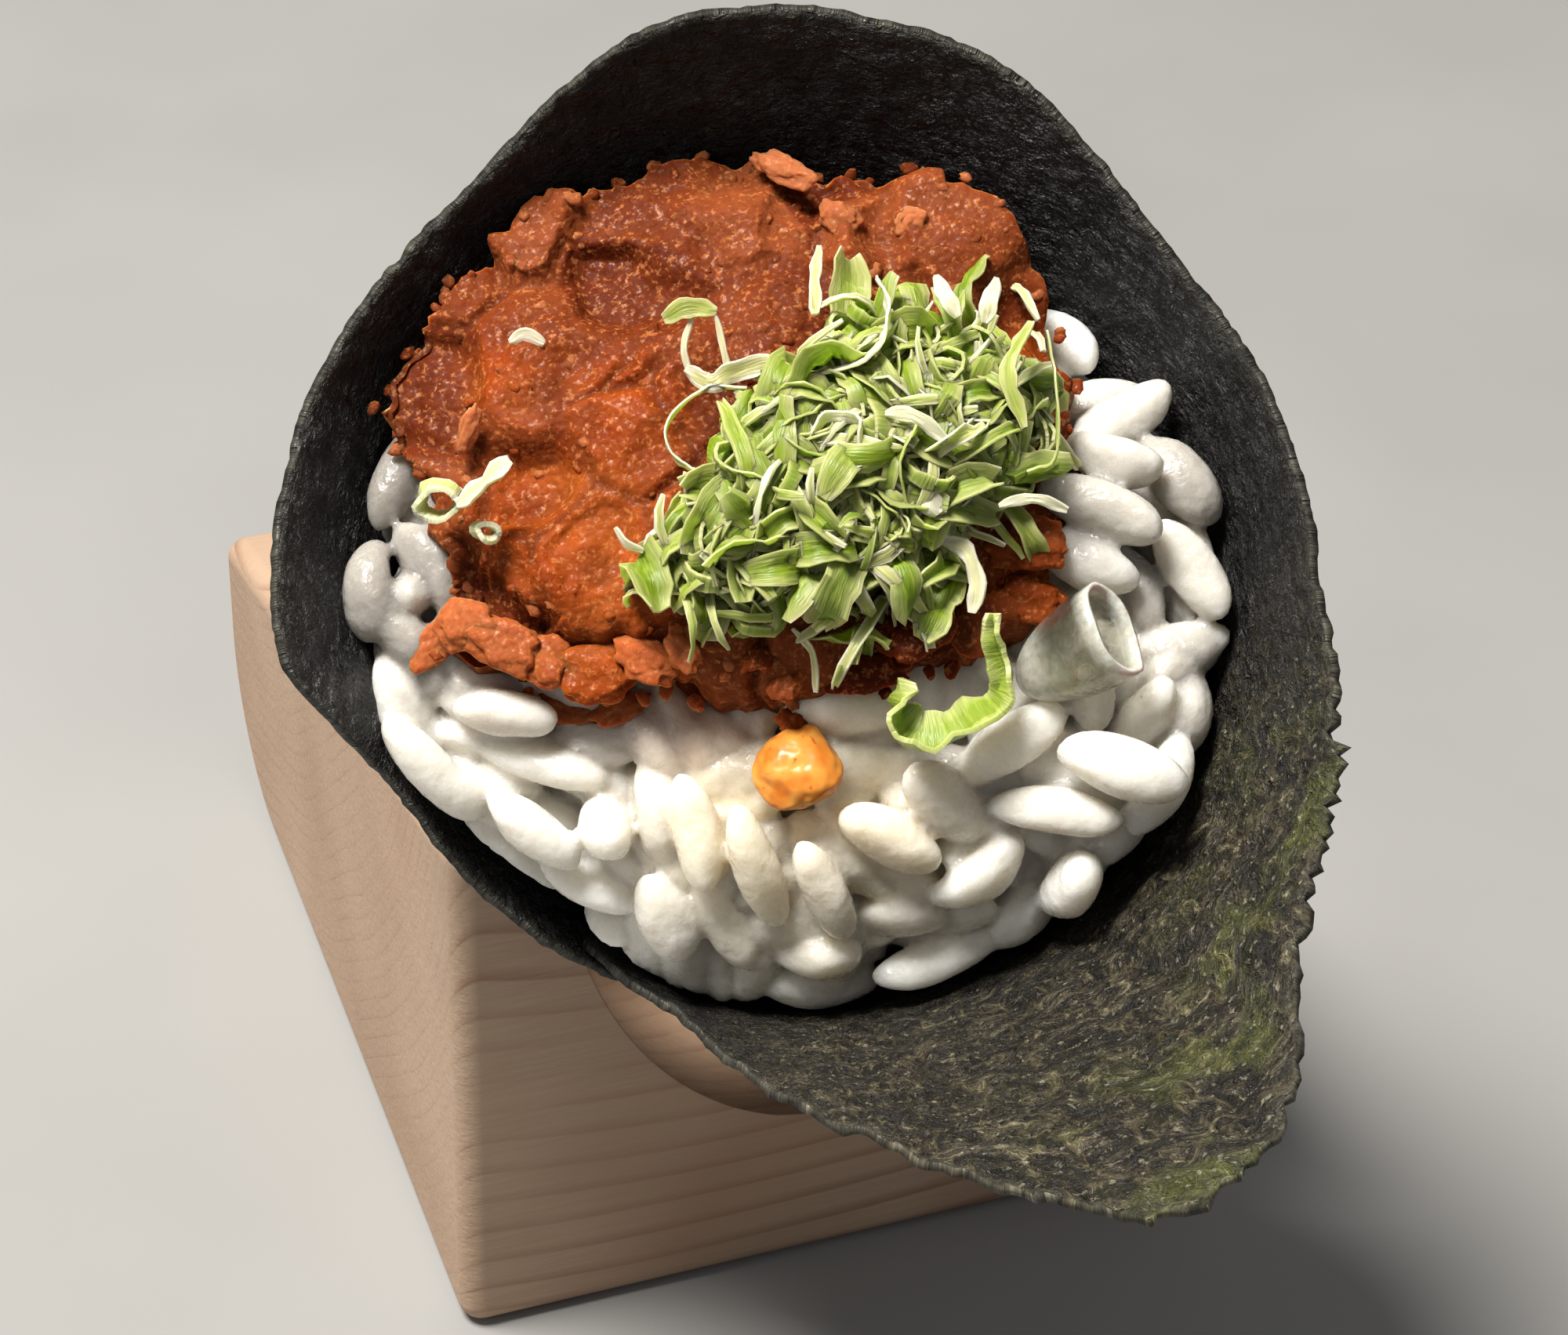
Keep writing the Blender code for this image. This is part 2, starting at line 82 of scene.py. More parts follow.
# Rim of the sheet: degrees, height, flare, and how far it is frayed.
RIM = (
    (-122, 49.0, 0.0, 0.25),
    (-103, 53.0, 0.1, 0.35),
    (-89, 62.0, 1.7, 0.5),
    (-77, 69.0, 3.8, 0.7),
    (-66, 75.0, 7.6, 0.9),
    (-55, 79.0, 11.3, 1.6),
    (-48, 77.5, 11.4, 2.3),
    (-42, 75.5, 9.8, 2.3),
    (-35, 72.5, 6.2, 2.0),
    (-14, 70.5, 3.0, 1.9),
    (6, 70.0, 0.0, 0.6),
    (42, 68.8, 0.0, 0.3),
    (80, 74.8, 0.0, 0.2),
    (104, 75.6, 0.0, 0.2),
    (139, 69.9, 0.0, 0.2),
    (171, 69.3, 0.0, 0.25),
    (196, 68.6, 0.0, 0.3),
    (208, 58.6, 0.0, 0.3),
    (221, 54.1, 0.0, 0.3),
    (239, 49.0, 0.0, 0.4),
    (262, 41.0, 0.0, 0.4),
)

HOLDER_WIDTH = 53
HOLDER_DEPTH = 67
HOLDER_FRONT_HEIGHT = 41.5
HOLDER_BACK_HEIGHT = 20.5
HOLDER_EDGE_ROUND = 1.6
HOLDER_HEEL_ROUND = 12
BORE_RADIUS = 20
BORE_SHIFT = 0.6
BORE_SLOPE = 46
BORE_STRAIGHT = 20
BORE_DEPTH = 41.5
BORE_END_RADIUS = 11.5
BORE_EDGE_ROUND = 0.5
RING_SPACING = 1.45
RING_CENTRE = (0, 45, 70)

GRAIN_LENGTH = 7.4
GRAIN_THICKNESS = 3.3


# ---- Small tools ------------------------------------------------------------

def roll_matrix():
    """Frame of the roll in millimetres, in the frame of the whole."""
    turn, rise = math.radians(ROLL_TURN), math.radians(ROLL_RISE)
    axis = Vector((
        math.sin(turn) * math.cos(rise),
        -math.cos(turn) * math.cos(rise),
        math.sin(rise),
    ))
    across = Vector((math.cos(turn), math.sin(turn), 0))
    turned = Matrix((across, axis.cross(across), axis)).transposed()
    return Matrix.Translation(TAIL) @ turned.to_4x4()


ROLL = roll_matrix()
ROLL_BACK = ROLL.inverted()


def table_value(table, key, column):
    """Smooth value between the rows of a table, level at each high and low."""
    rows = len(table)
    last = next((i for i in range(1, rows) if key <= table[i][0]), rows - 1)
    first = last - 1

    def slope(i):
        if i == 0 or i == rows - 1:
            return 0.0
        before = table[i][column] - table[i - 1][column]
        after = table[i + 1][column] - table[i][column]
        if before * after <= 0:
            return 0.0
        run_before = table[i][0] - table[i - 1][0]
        run_after = table[i + 1][0] - table[i][0]
        return 2 / (run_before / before + run_after / after)

    run = table[last][0] - table[first][0]
    t = min(max((key - table[first][0]) / run, 0.0), 1.0)
    start, end = table[first][column], table[last][column]
    return (
        start * (1 + 2 * t) * (1 - t) ** 2
        + end * (3 - 2 * t) * t ** 2
        + slope(first) * run * t * (1 - t) ** 2
        - slope(last) * run * t ** 2 * (1 - t)
    )


def smoothstep(low, high, value):
    t = min(max((value - low) / (high - low), 0.0), 1.0)
    return t * t * (3 - 2 * t)


def soft_spot(x, y, middle, reach):
    """1 in the middle of an oval place, fading to 0 past its reach."""
    return math.exp(-((x - middle[0]) / reach[0]) ** 2 - ((y - middle[1]) / reach[1]) ** 2)


def wrap_degrees(angle):
    return (angle + 180) % 360 - 180


def cone_radius(height):
    return TAIL_RADIUS + height * math.tan(math.radians(CONE_HALF_ANGLE))


def bumps(x, y, z, spacing, seed=0.0):
    """Smooth bumps between -1 and 1, the same on each run."""
    return noise.noise(Vector((x / spacing, y / spacing, z / spacing + seed)))


def direction_at(degrees):
    """Way out from the roll's axis, across the mouth."""
    return Vector((math.cos(math.radians(degrees)), math.sin(math.radians(degrees)), 0))


def spread_out(point):
    """A place on a unit ball as degrees, the way out, and a share: 0 on top, 1 at its side."""
    degrees = math.degrees(math.atan2(point.y, point.x))
    share = math.acos(max(min(point.z, 1), -1)) / (math.pi / 2)
    return degrees, direction_at(degrees), share


def turning(angles):
    return Euler(angles).to_matrix().to_4x4()


UP = Vector((0, 0, 1))
FIELD_HALF = 34                # mm each way from the roll's axis
FIELD_STEP = 0.5
FIELD_CEILING = 200            # from where the tops are looked for
FIELD_SPREAD = 8               # steps that a top is carried on past its outline


class HeightField:
    """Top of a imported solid, looked up across the mouth in the roll's frame."""

    def __init__(self, name):
        mesh = nodes[name].data
        points = [ROLL_BACK @ (v.co / MM) for v in mesh.vertices]
        tree = BVHTree.FromPolygons(points, [p.vertices[:] for p in mesh.polygons])
        ticks = np.arange(-FIELD_HALF, FIELD_HALF + FIELD_STEP, FIELD_STEP)
        tops = np.full((len(ticks), len(ticks)), np.nan)
        for i, x in enumerate(ticks):
            for j, y in enumerate(ticks):
                hit = tree.ray_cast(Vector((x, y, FIELD_CEILING)), -UP)[0]
                if hit is not None:
                    tops[i, j] = hit.z
        self.covered = ~np.isnan(tops)
        for _ in range(FIELD_SPREAD):
            padded = np.pad(tops, 1, constant_values=np.nan)
            around = np.stack([padded[2:, 1:-1], padded[:-2, 1:-1], padded[1:-1, 2:], padded[1:-1, :-2]])
            known = (~np.isnan(around)).sum(axis=0)
            mean = np.nansum(around, axis=0) / np.maximum(known, 1)
            tops = np.where(np.isnan(tops) & (known > 0), mean, tops)
        self.tops = np.where(np.isnan(tops), np.nanmin(tops), tops)

    def _cell(self, x, y):
        last = len(self.tops) - 1.001
        u = np.clip((np.asarray(x) + FIELD_HALF) / FIELD_STEP, 0, last)
        v = np.clip((np.asarray(y) + FIELD_HALF) / FIELD_STEP, 0, last)
        return u, v

    def top(self, x, y):
        """Height between the looked-up places, for numbers or for arrays."""
        u, v = self._cell(x, y)
        i, j = u.astype(int), v.astype(int)
        a, b = u - i, v - j
        t = self.tops
        low = t[i, j] * (1 - a) + t[i + 1, j] * a
        high = t[i, j + 1] * (1 - a) + t[i + 1, j + 1] * a
        return low * (1 - b) + high * b

    def inside(self, x, y):
        u, v = self._cell(x, y)
        return self.covered[np.rint(u).astype(int), np.rint(v).astype(int)]

    def outline(self, middle=(0, 0)):
        """Distance from a middle to the solid's outline, as a function of degrees."""
        turns = np.arange(-180, 181, 2)
        steps = np.arange(1, FIELD_HALF, FIELD_STEP / 2)
        x = middle[0] + np.outer(np.cos(np.radians(turns)), steps)
        y = middle[1] + np.outer(np.sin(np.radians(turns)), steps)
        reaches = (self.inside(x, y) * steps).max(axis=1)
        return lambda degrees: float(np.interp(wrap_degrees(degrees), turns, reaches))


RICE = HeightField("rice")
TUNA = HeightField("tuna")
SCALLIONS = HeightField("scallions")
rice_edge = RICE.outline()
tuna_edge = TUNA.outline()


def centre_of(name):
    """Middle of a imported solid's box, in the roll's frame."""
    points = np.array([ROLL_BACK @ (v.co / MM) for v in nodes[name].data.vertices])
    return Vector((points.min(axis=0) + points.max(axis=0)) / 2)


def path(points):
    """Smooth line through points, as a function of the share of its way."""
    points = [Vector(p) for p in points]
    ends = [2 * points[0] - points[1], *points, 2 * points[-1] - points[-2]]
    spans = len(points) - 1

    def line(share):
        i = min(max(int(share * spans), 0), spans - 1)
        t = share * spans - i
        a, b, c, d = ends[i:i + 4]
        return 0.5 * (2 * b + (c - a) * t + (2 * a - 5 * b + 4 * c - d) * t ** 2
                      + (3 * b - a - 3 * c + d) * t ** 3)
    return line


def mesh_from(name, bm):
    mesh = bpy.data.meshes.new(name)
    bm.to_mesh(mesh)
    bm.free()
    return mesh


def add_object(name, data):
    made = bpy.data.objects.new(name, data)
    bpy.context.scene.collection.objects.link(made)
    return made


def float_layers(bm, names):
    """Looks that the vertices carry, each as its own attribute."""
    return {name: bm.verts.layers.float.new(name) for name in names}


def gather(whole, part):
    """Adds a small bmesh to a big one, and its layers of the same names."""
    mesh = mesh_from("part", part)
    whole.from_mesh(mesh)
    bpy.data.meshes.remove(mesh)


def piece(name, bm, finish, replaced=(), frame_matrix=ROLL, smooth_angle=180):
    """Turns a bmesh in millimetres into a piece of the object."""
    bmesh.ops.transform(bm, verts=bm.verts, matrix=Matrix.Scale(MM, 4) @ frame_matrix)
    mesh = mesh_from(name, bm)
    mesh.materials.append(finish)
    mesh.shade_smooth()
    if smooth_angle < 180:
        mesh.set_sharp_from_angle(angle=math.radians(smooth_angle))
    made = add_object(name, mesh)
    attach(made, "root")
    if replaced:
        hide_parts(*replaced)
    return made


# ---- Materials --------------------------------------------------------------

def colour(code):
    """Linear colour of an sRGB hex value."""
    parts = [int(code[i:i + 2], 16) / 255 for i in (1, 3, 5)]
    linear = [c / 12.92 if c <= 0.04045 else ((c + 0.055) / 1.055) ** 2.4 for c in parts]
    return (*linear, 1)


def new_material(name):
    made = bpy.data.materials.new(name)
    made.use_nodes = True
    return made, made.node_tree, made.node_tree.nodes["Principled BSDF"]


def plug(tree, node, inputs):
    """Sets a node's inputs. Each is a value, or an output socket to link from."""
    for key, value in inputs.items():
        if isinstance(value, bpy.types.NodeSocket):
            tree.links.new(value, node.inputs[key])
        else:
            node.inputs[key].default_value = value


def add(tree, kind, inputs=None, **settings):
    """Adds a node."""
    made = tree.nodes.new(kind)
    for key, value in settings.items():
        setattr(made, key, value)
    plug(tree, made, inputs or {})
    return made


def ramp(tree, value, stops):
    """Colour ramp from a value: stops are place and hex colour."""
    made = add(tree, "ShaderNodeValToRGB", {"Fac": value})
    elements = made.color_ramp.elements
    while len(elements) < len(stops):
        elements.new(0.5)
    for element, (place, code) in zip(elements, stops):
        element.position = place
        element.color = colour(code)
    return made.outputs["Color"]


def mix(tree, share, first, second):
    """Mixes two colours: sockets or hex values."""
    made = add(tree, "ShaderNodeMix", data_type="RGBA")
    first, second = (colour(paint) if isinstance(paint, str) else paint for paint in (first, second))
    plug(tree, made, {0: share, 6: first, 7: second})
    return made.outputs[2]


def maths(tree, operation, *values, clamp=False):
    made = add(tree, "ShaderNodeMath", dict(enumerate(values)), operation=operation, use_clamp=clamp)
    return made.outputs["Value"]


def map_range(tree, value, from_low, from_high, to_low, to_high):
    made = add(tree, "ShaderNodeMapRange", {
        "Value": value, "From Min": from_low, "From Max": from_high,
        "To Min": to_low, "To Max": to_high,
    })
    return made.outputs["Result"]


def place_in_mm(tree, scale=(1, 1, 1), uv_map=None):
    """Texture place on the piece, counted in millimetres."""
    if uv_map:
        source = add(tree, "ShaderNodeUVMap", uv_map=uv_map).outputs["UV"]
        factors = scale
    else:
        source = add(tree, "ShaderNodeTexCoord").outputs["Object"]
        factors = [s / MM for s in scale]
    mapping = add(tree, "ShaderNodeMapping", {"Vector": source, "Scale": factors})
    return mapping.outputs["Vector"]


def pattern(tree, place, spacing, detail=2.0, rough=0.5, distortion=0.0):
    """Noise whose bumps lie about that many millimetres apart."""
    made = add(tree, "ShaderNodeTexNoise", {
        "Vector": place, "Scale": 1 / spacing, "Detail": detail,
        "Roughness": rough, "Distortion": distortion,
    })
    return made.outputs["Fac"]


def attribute(tree, name):
    return add(tree, "ShaderNodeAttribute", attribute_name=name).outputs["Fac"]


def bump(tree, height, depth_mm, under=None):
    inputs = {"Height": height, "Distance": depth_mm * MM}
    if under is not None:
        inputs["Normal"] = under
    return add(tree, "ShaderNodeBump", inputs).outputs["Normal"]


def wood_material():
    """Planed softwood, unvarnished: growth rings of a pale early and a darker late
    wood, faint streaks along the fibre, and a dry, almost matt surface."""
    made, tree, shader = new_material("planed_softwood")
    place = place_in_mm(tree)
    waviness = pattern(tree, place_in_mm(tree, (0.35, 1, 1)), 26, 1.5)
    fine_wave = pattern(tree, place_in_mm(tree, (0.12, 1, 1)), 5, 2)
    across_rings = place_in_mm(tree, (0.55, 1, 1))
    radius = add(tree, "ShaderNodeVectorMath", {0: across_rings, 1: RING_CENTRE}, operation="DISTANCE")
    radius = maths(tree, "ADD", radius.outputs["Value"], map_range(tree, waviness, 0, 1, -2.2, 2.2))
    radius = maths(tree, "ADD", radius, map_range(tree, fine_wave, 0, 1, -0.18, 0.18))
    rings = maths(tree, "FRACT", maths(tree, "DIVIDE", radius, RING_SPACING))
    late = ramp(tree, rings, ((0.0, "#303030"), (0.08, "#000000"), (0.6, "#262626"), (0.93, "#ffffff"),
                              (1.0, "#303030")))
    fading = map_range(tree, pattern(tree, place_in_mm(tree, (0.3, 1, 1)), 9, 2), 0.35, 0.65, 0.15, 1)
    sideways = add(tree, "ShaderNodeSeparateXYZ", {"Vector": place}).outputs["X"]
    sideways = maths(tree, "ABSOLUTE", sideways)
    at_side = map_range(tree, sideways, HOLDER_WIDTH / 2 - 0.5, HOLDER_WIDTH / 2 - 0.1, 1, 0.3)
    late = maths(tree, "MULTIPLY", late, maths(tree, "MULTIPLY", fading, at_side))
    fibre = pattern(tree, place_in_mm(tree, (0.05, 1, 1)), 0.5, 4, 0.65)
    cloud = pattern(tree, place, 18, 2)
    base = ramp(tree, cloud, ((0.3, "#a0846c"), (0.7, "#b29880")))
    base = mix(tree, map_range(tree, late, 0, 1, 0.0, 0.62), base, "#7a4e3c")
    base = mix(tree, map_range(tree, fibre, 0.35, 0.75, 0.0, 0.3), base, "#977a60")
    relief = maths(tree, "ADD", maths(tree, "MULTIPLY", fibre, 0.7), maths(tree, "MULTIPLY", late, 0.3))
    plug(tree, shader, {
        "Base Color": base,
        "Roughness": map_range(tree, fibre, 0.3, 0.7, 0.52, 0.7),
        "Normal": bump(tree, relief, 0.12),
        "Specular IOR Level": 0.35,
    })
    return made


def seaweed_material():
    """Roasted seaweed: pressed fronds dried to a sheet. Near black, with crossing
    fibres, small pits, and olive places where the sheet is thin at its frayed edge.
    The flap is painted lighter where it faces the lamps, as painted light; its pale
    flecks and rim are partly the sheet's own specks and cut edge, partly painted glints."""
    made, tree, shader = new_material("roasted_seaweed")
    along = place_in_mm(tree, (0.5, 1.0, 1.0), "sheet")
    across = place_in_mm(tree, (1.0, 0.6, 1.0), "sheet")
    flat = place_in_mm(tree, uv_map="sheet")
    fibres = maths(tree, "MAXIMUM", pattern(tree, along, 1.1, 5, 0.75, 1.2),
                   pattern(tree, across, 1.1, 5, 0.75, 1.2))
    pits = pattern(tree, flat, 0.9, 3, 0.65)
    flecks = pattern(tree, flat, 0.42, 2, 0.6)
    clouds = pattern(tree, flat, 4.5, 3, 0.6)
    thin = attribute(tree, "thin")
    # Painted light: the flap near its rim, marked by the thin look, takes the lighter ramp as the lit side;
    # the rest of the sheet keeps the near black ramp.
    dark = ramp(tree, fibres, ((0.42, "#030304"), (0.6, "#090909"), (0.78, "#26241d")))
    light = ramp(tree, fibres, ((0.4, "#080705"), (0.52, "#1c1811"), (0.62, "#48412f"), (0.74, "#8f866b")))
    base = mix(tree, thin, dark, light)
    olive = maths(tree, "MULTIPLY", attribute(tree, "olive"), map_range(tree, clouds, 0.47, 0.6, 0, 1),
                  clamp=True)
    base = mix(tree, olive, base,
               ramp(tree, fibres, ((0.42, "#1c1f0e"), (0.6, "#4a4c22"), (0.75, "#7c7c4c"))))
    # Pale flecks: partly the sheet's own specks, partly painted glints, strongest on the lit flap.
    lit = map_range(tree, thin, 0, 1, 0.12, 1)
    pale = maths(tree, "MULTIPLY", map_range(tree, flecks, 0.6, 0.7, 0, 0.7), lit, clamp=True)
    base = mix(tree, pale, base, "#86806c")
    # Paler at the rim: the torn cut edge, with painted glints along it.
    base = mix(tree, maths(tree, "MULTIPLY", attribute(tree, "edge"), 0.2), base,
               ramp(tree, pits, ((0.35, "#2a2a22"), (0.65, "#8a8672"))))
    coarse = bump(tree, maths(tree, "ADD", fibres, maths(tree, "MULTIPLY", pits, 0.9)), 1.0)
    plug(tree, shader, {
        "Base Color": base,
        "Roughness": map_range(tree, flecks, 0.35, 0.7, 0.6, 0.24),
        "Normal": bump(tree, flecks, 0.16, coarse),
        "Specular IOR Level": 0.35,
    })
    return made


def rice_material():
    """Cooked short-grain rice: gelled starch. Moist, with small sharp highlights, and
    light that goes in some millimetres. Cream where sauce and tuna have run in, and
    grey where a grain is clear. The same grey is painted shade at the left and right
    of the bed, in the groove before the tuna and in the creases between grains."""
    made, tree, shader = new_material("cooked_rice")
    place = place_in_mm(tree)
    cloud = pattern(tree, place, 3.2, 2)
    grit = pattern(tree, place, 0.45, 2, 0.6)
    lumps = pattern(tree, place, 1.3, 1)
    base = mix(tree, attribute(tree, "tone"), "#ece8de", "#e8dabb")
    # Grey of clear grains, and painted shade where the clear look is raised at the sides, in the groove and
    # in creases.
    base = mix(tree, attribute(tree, "clear"), base, "#86817a")
    base = mix(tree, map_range(tree, cloud, 0.4, 0.65, 0, 0.2), base, "#c4bfb2")
    base = mix(tree, attribute(tree, "stain"), base, "#c98a63")
    plug(tree, shader, {
        "Base Color": base,
        "Roughness": map_range(tree, grit, 0.45, 0.6, 0.42, 0.08),
        "Normal": bump(tree, grit, 0.1, bump(tree, lumps, 0.25)),
        "IOR": 1.4,
        "Subsurface Weight": 0.9,
        "Subsurface Radius": (1.0, 0.92, 0.8),
        "Subsurface Scale": 3.0 * MM,
    })
    return made


def tuna_material():
    """Minced raw tuna with a little chilli: moist granules of about half a
    millimetre, salmon and red-brown, with orange places. The dark red is painted shade
    in clefts, between lumps, under the ledge and beside the scallion heap, and also
    darker clear flesh. Small pale orange dots are painted glints."""
    made, tree, shader = new_material("minced_tuna")
    place = place_in_mm(tree)
    cloud = pattern(tree, place, 5, 3, 0.6)
    grit = add(tree, "ShaderNodeTexVoronoi", {"Vector": place, "Scale": 1 / 0.42}).outputs["Distance"]
    fine = pattern(tree, place, 0.4, 2, 0.7)
    patches = pattern(tree, place, 1.4, 3, 0.65)
    flesh = ramp(tree, maths(tree, "ADD", maths(tree, "MULTIPLY", cloud, 0.6),
                             maths(tree, "MULTIPLY", attribute(tree, "tone"), 0.4)),
                 ((0.3, "#541f0b"), (0.5, "#662b10"), (0.7, "#76391b")))
    orange = ramp(tree, cloud, ((0.3, "#833106"), (0.7, "#964a18")))
    base = mix(tree, attribute(tree, "bright"), flesh, orange)
    # Dark red: painted shade in clefts, between lumps and under the ledge, and darker clear flesh.
    base = mix(tree, attribute(tree, "shade_and_dark_flesh"), base, "#4a1808")
    base = mix(tree, attribute(tree, "pale"), base, "#b06a42")
    base = mix(tree, map_range(tree, patches, 0.52, 0.75, 0, 0.25), base, "#864b24")
    # Painted glints: small pale orange dots, where the surface is also glossier, stand in for the sparkle of
    # the moist granules.
    base = mix(tree, map_range(tree, fine, 0.54, 0.68, 0, 0.5), base, "#bc7846")
    plug(tree, shader, {
        "Base Color": base,
        "Roughness": map_range(tree, fine, 0.45, 0.6, 0.6, 0.2),
        "Normal": bump(tree, grit, -0.08, bump(tree, patches, 0.12)),
        "IOR": 1.38,
        "Specular IOR Level": 0.08,
        "Subsurface Weight": 0.6,
        "Subsurface Radius": (1.0, 0.4, 0.22),
        "Subsurface Scale": 1.4 * MM,
    })
    return made


def scallion_material():
    """Sliced scallion: wet leaf with fine ribs along its fibre, green skin outside,
    paler flesh inside and near white where the slice is cut. The pale edges of each
    slice are also painted highlights."""
    made, tree, shader = new_material("sliced_scallion")
    place = place_in_mm(tree)
    cloud = pattern(tree, place, 1.8, 2)
    fibre = add(tree, "ShaderNodeCombineXYZ", {
        "X": attribute(tree, "rib"), "Y": maths(tree, "MULTIPLY", attribute(tree, "fibre"), 0.1),
    }).outputs["Vector"]
    ribs = pattern(tree, fibre, 0.24, 2, 0.6)
    pale = attribute(tree, "pale")
    leaf = mix(tree, attribute(tree, "tone"), "#546c0e", "#809328")
    leaf = mix(tree, map_range(tree, cloud, 0.35, 0.65, 0, 0.45), leaf, "#69801a")
    leaf = mix(tree, map_range(tree, ribs, 0.48, 0.66, 0, 0.4), leaf, "#a6b052")
    # Pale: cut flesh and paler slices, and painted highlights along slice edges.
    base = mix(tree, pale, leaf, "#c0be88")
    base = mix(tree, map_range(tree, pale, 0.7, 0.95, 0, 1), base, "#c8c9a6")
    plug(tree, shader, {
        "Base Color": base,
        "Roughness": map_range(tree, ribs, 0.3, 0.7, 0.32, 0.5),
        "Normal": bump(tree, ribs, 0.14),
        "IOR": 1.4,
        "Specular IOR Level": 0.35,
        "Subsurface Weight": 0.7,
        "Subsurface Radius": (0.7, 0.9, 0.35),
        "Subsurface Scale": 1.2 * MM,
    })
    return made


def stem_material():
    """Inner layer of a scallion stem: wet, almost clear tissue with faint veins."""
    made, tree, shader = new_material("clear_stem")
    place = place_in_mm(tree)
    veins = pattern(tree, place, 0.5, 3, 0.6)
    plug(tree, shader, {
        "Base Color": ramp(tree, veins, ((0.35, "#c9c8b8"), (0.7, "#f0eee4"))),
        "Roughness": 0.1,
        "Normal": bump(tree, veins, 0.08),
        "IOR": 1.36,
        "Transmission Weight": map_range(tree, attribute(tree, "pale"), 0, 1, 0.98, 0.3),
        "Subsurface Weight": 0.3,
        "Subsurface Scale": 1.0 * MM,
    })
    return made


def sauce_material():
    """Thick chilli mayonnaise: orange, smooth and glossy, with red specks."""
    made, tree, shader = new_material("orange_sauce")
    place = place_in_mm(tree)
    cloud = pattern(tree, place, 1.6, 2)
    specks = pattern(tree, place, 0.6, 1)
    base = ramp(tree, cloud, ((0.35, "#c06c22"), (0.65, "#d2913f")))
    base = mix(tree, map_range(tree, specks, 0.66, 0.74, 0, 0.8), base, "#b4451c")
    plug(tree, shader, {
        "Base Color": base,
        "Roughness": 0.27,
        "Normal": bump(tree, cloud, 0.2),
        "IOR": 1.42,
        "Specular IOR Level": 0.35,
        "Subsurface Weight": 0.4,
        "Subsurface Radius": (1.0, 0.5, 0.2),
        "Subsurface Scale": 1.2 * MM,
    })
    return made


# ---- Holder -----------------------------------------------------------------

def block_shape():
    """The block without its bore: a side outline drawn out to the width, its edges eased."""
    front, back = -HOLDER_DEPTH / 2, HOLDER_DEPTH / 2
    outline = [(front, 0), (front, HOLDER_FRONT_HEIGHT), (back, HOLDER_BACK_HEIGHT)]
    for step in range(15):
        angle = math.radians(90 * step / 14)
        outline.append((
            back - HOLDER_HEEL_ROUND * (1 - math.cos(angle)),
            HOLDER_HEEL_ROUND * (1 - math.sin(angle)),
        ))
    bm = bmesh.new()
    verts = [bm.verts.new((-HOLDER_WIDTH / 2, y, z)) for y, z in outline]
    face = bm.faces.new(verts)
    grown = bmesh.ops.extrude_face_region(bm, geom=[face])["geom"]
    moved = [g for g in grown if isinstance(g, bmesh.types.BMVert)]
    bmesh.ops.translate(bm, verts=moved, vec=(HOLDER_WIDTH, 0, 0))
    bmesh.ops.recalc_face_normals(bm, faces=bm.faces)
    sharp = [e for e in bm.edges if e.calc_face_angle(0) > math.radians(40)]
    bmesh.ops.bevel(bm, geom=sharp, offset=HOLDER_EDGE_ROUND, segments=6, profile=0.5,
                    affect="EDGES", material=-1)
    return bm


def bore_shape():
    """The slanted bore: straight at its mouth, then tapering to its flat end."""
    cutter = bmesh.new()
    profile = ((BORE_RADIUS, 50), (BORE_RADIUS, -BORE_STRAIGHT), (BORE_END_RADIUS, -BORE_DEPTH))
    points = [cutter.verts.new((radius, 0, height)) for radius, height in profile]
    ends = [cutter.verts.new((0, 0, profile[0][1])), cutter.verts.new((0, 0, profile[-1][1]))]
    line = [ends[0], *points, ends[1]]
    edges = [cutter.edges.new(pair) for pair in zip(line, line[1:])]
    bmesh.ops.spin(cutter, geom=line + edges, cent=(0, 0, 0), axis=(0, 0, 1), angle=TAU,
                   steps=144, use_merge=True, use_duplicate=False)
    bmesh.ops.remove_doubles(cutter, verts=cutter.verts, dist=0.001)
    bmesh.ops.recalc_face_normals(cutter, faces=cutter.faces)
    lean = Matrix.Rotation(math.pi / 2 - math.radians(BORE_SLOPE), 4, "X")
    edge = Matrix.Translation((BORE_SHIFT, -HOLDER_DEPTH / 2, HOLDER_FRONT_HEIGHT))
    bmesh.ops.transform(cutter, verts=cutter.verts, matrix=Matrix.Scale(MM, 4) @ edge @ lean)
    return cutter


def make_holder():
    """The block of the CAD, with finer roundings and a finer bore."""
    bore = add_object("bore_cutter", mesh_from("bore_cutter", bore_shape()))
    block = piece("holder_block", block_shape(), wood_material(), ("holder",), Matrix())
    cut = block.modifiers.new("bore", "BOOLEAN")
    cut.operation = "DIFFERENCE"
    cut.solver = "EXACT"
    cut.object = bore
    block.data = evaluated_mesh(block)
    block.modifiers.clear()
    bpy.data.objects.remove(bore)
    soften_bore_edge(block)


def evaluated_mesh(made):
    """The mesh of an object with its modifiers applied."""
    bpy.context.view_layer.update()
    graph = bpy.context.evaluated_depsgraph_get()
    return bpy.data.meshes.new_from_object(made.evaluated_get(graph))


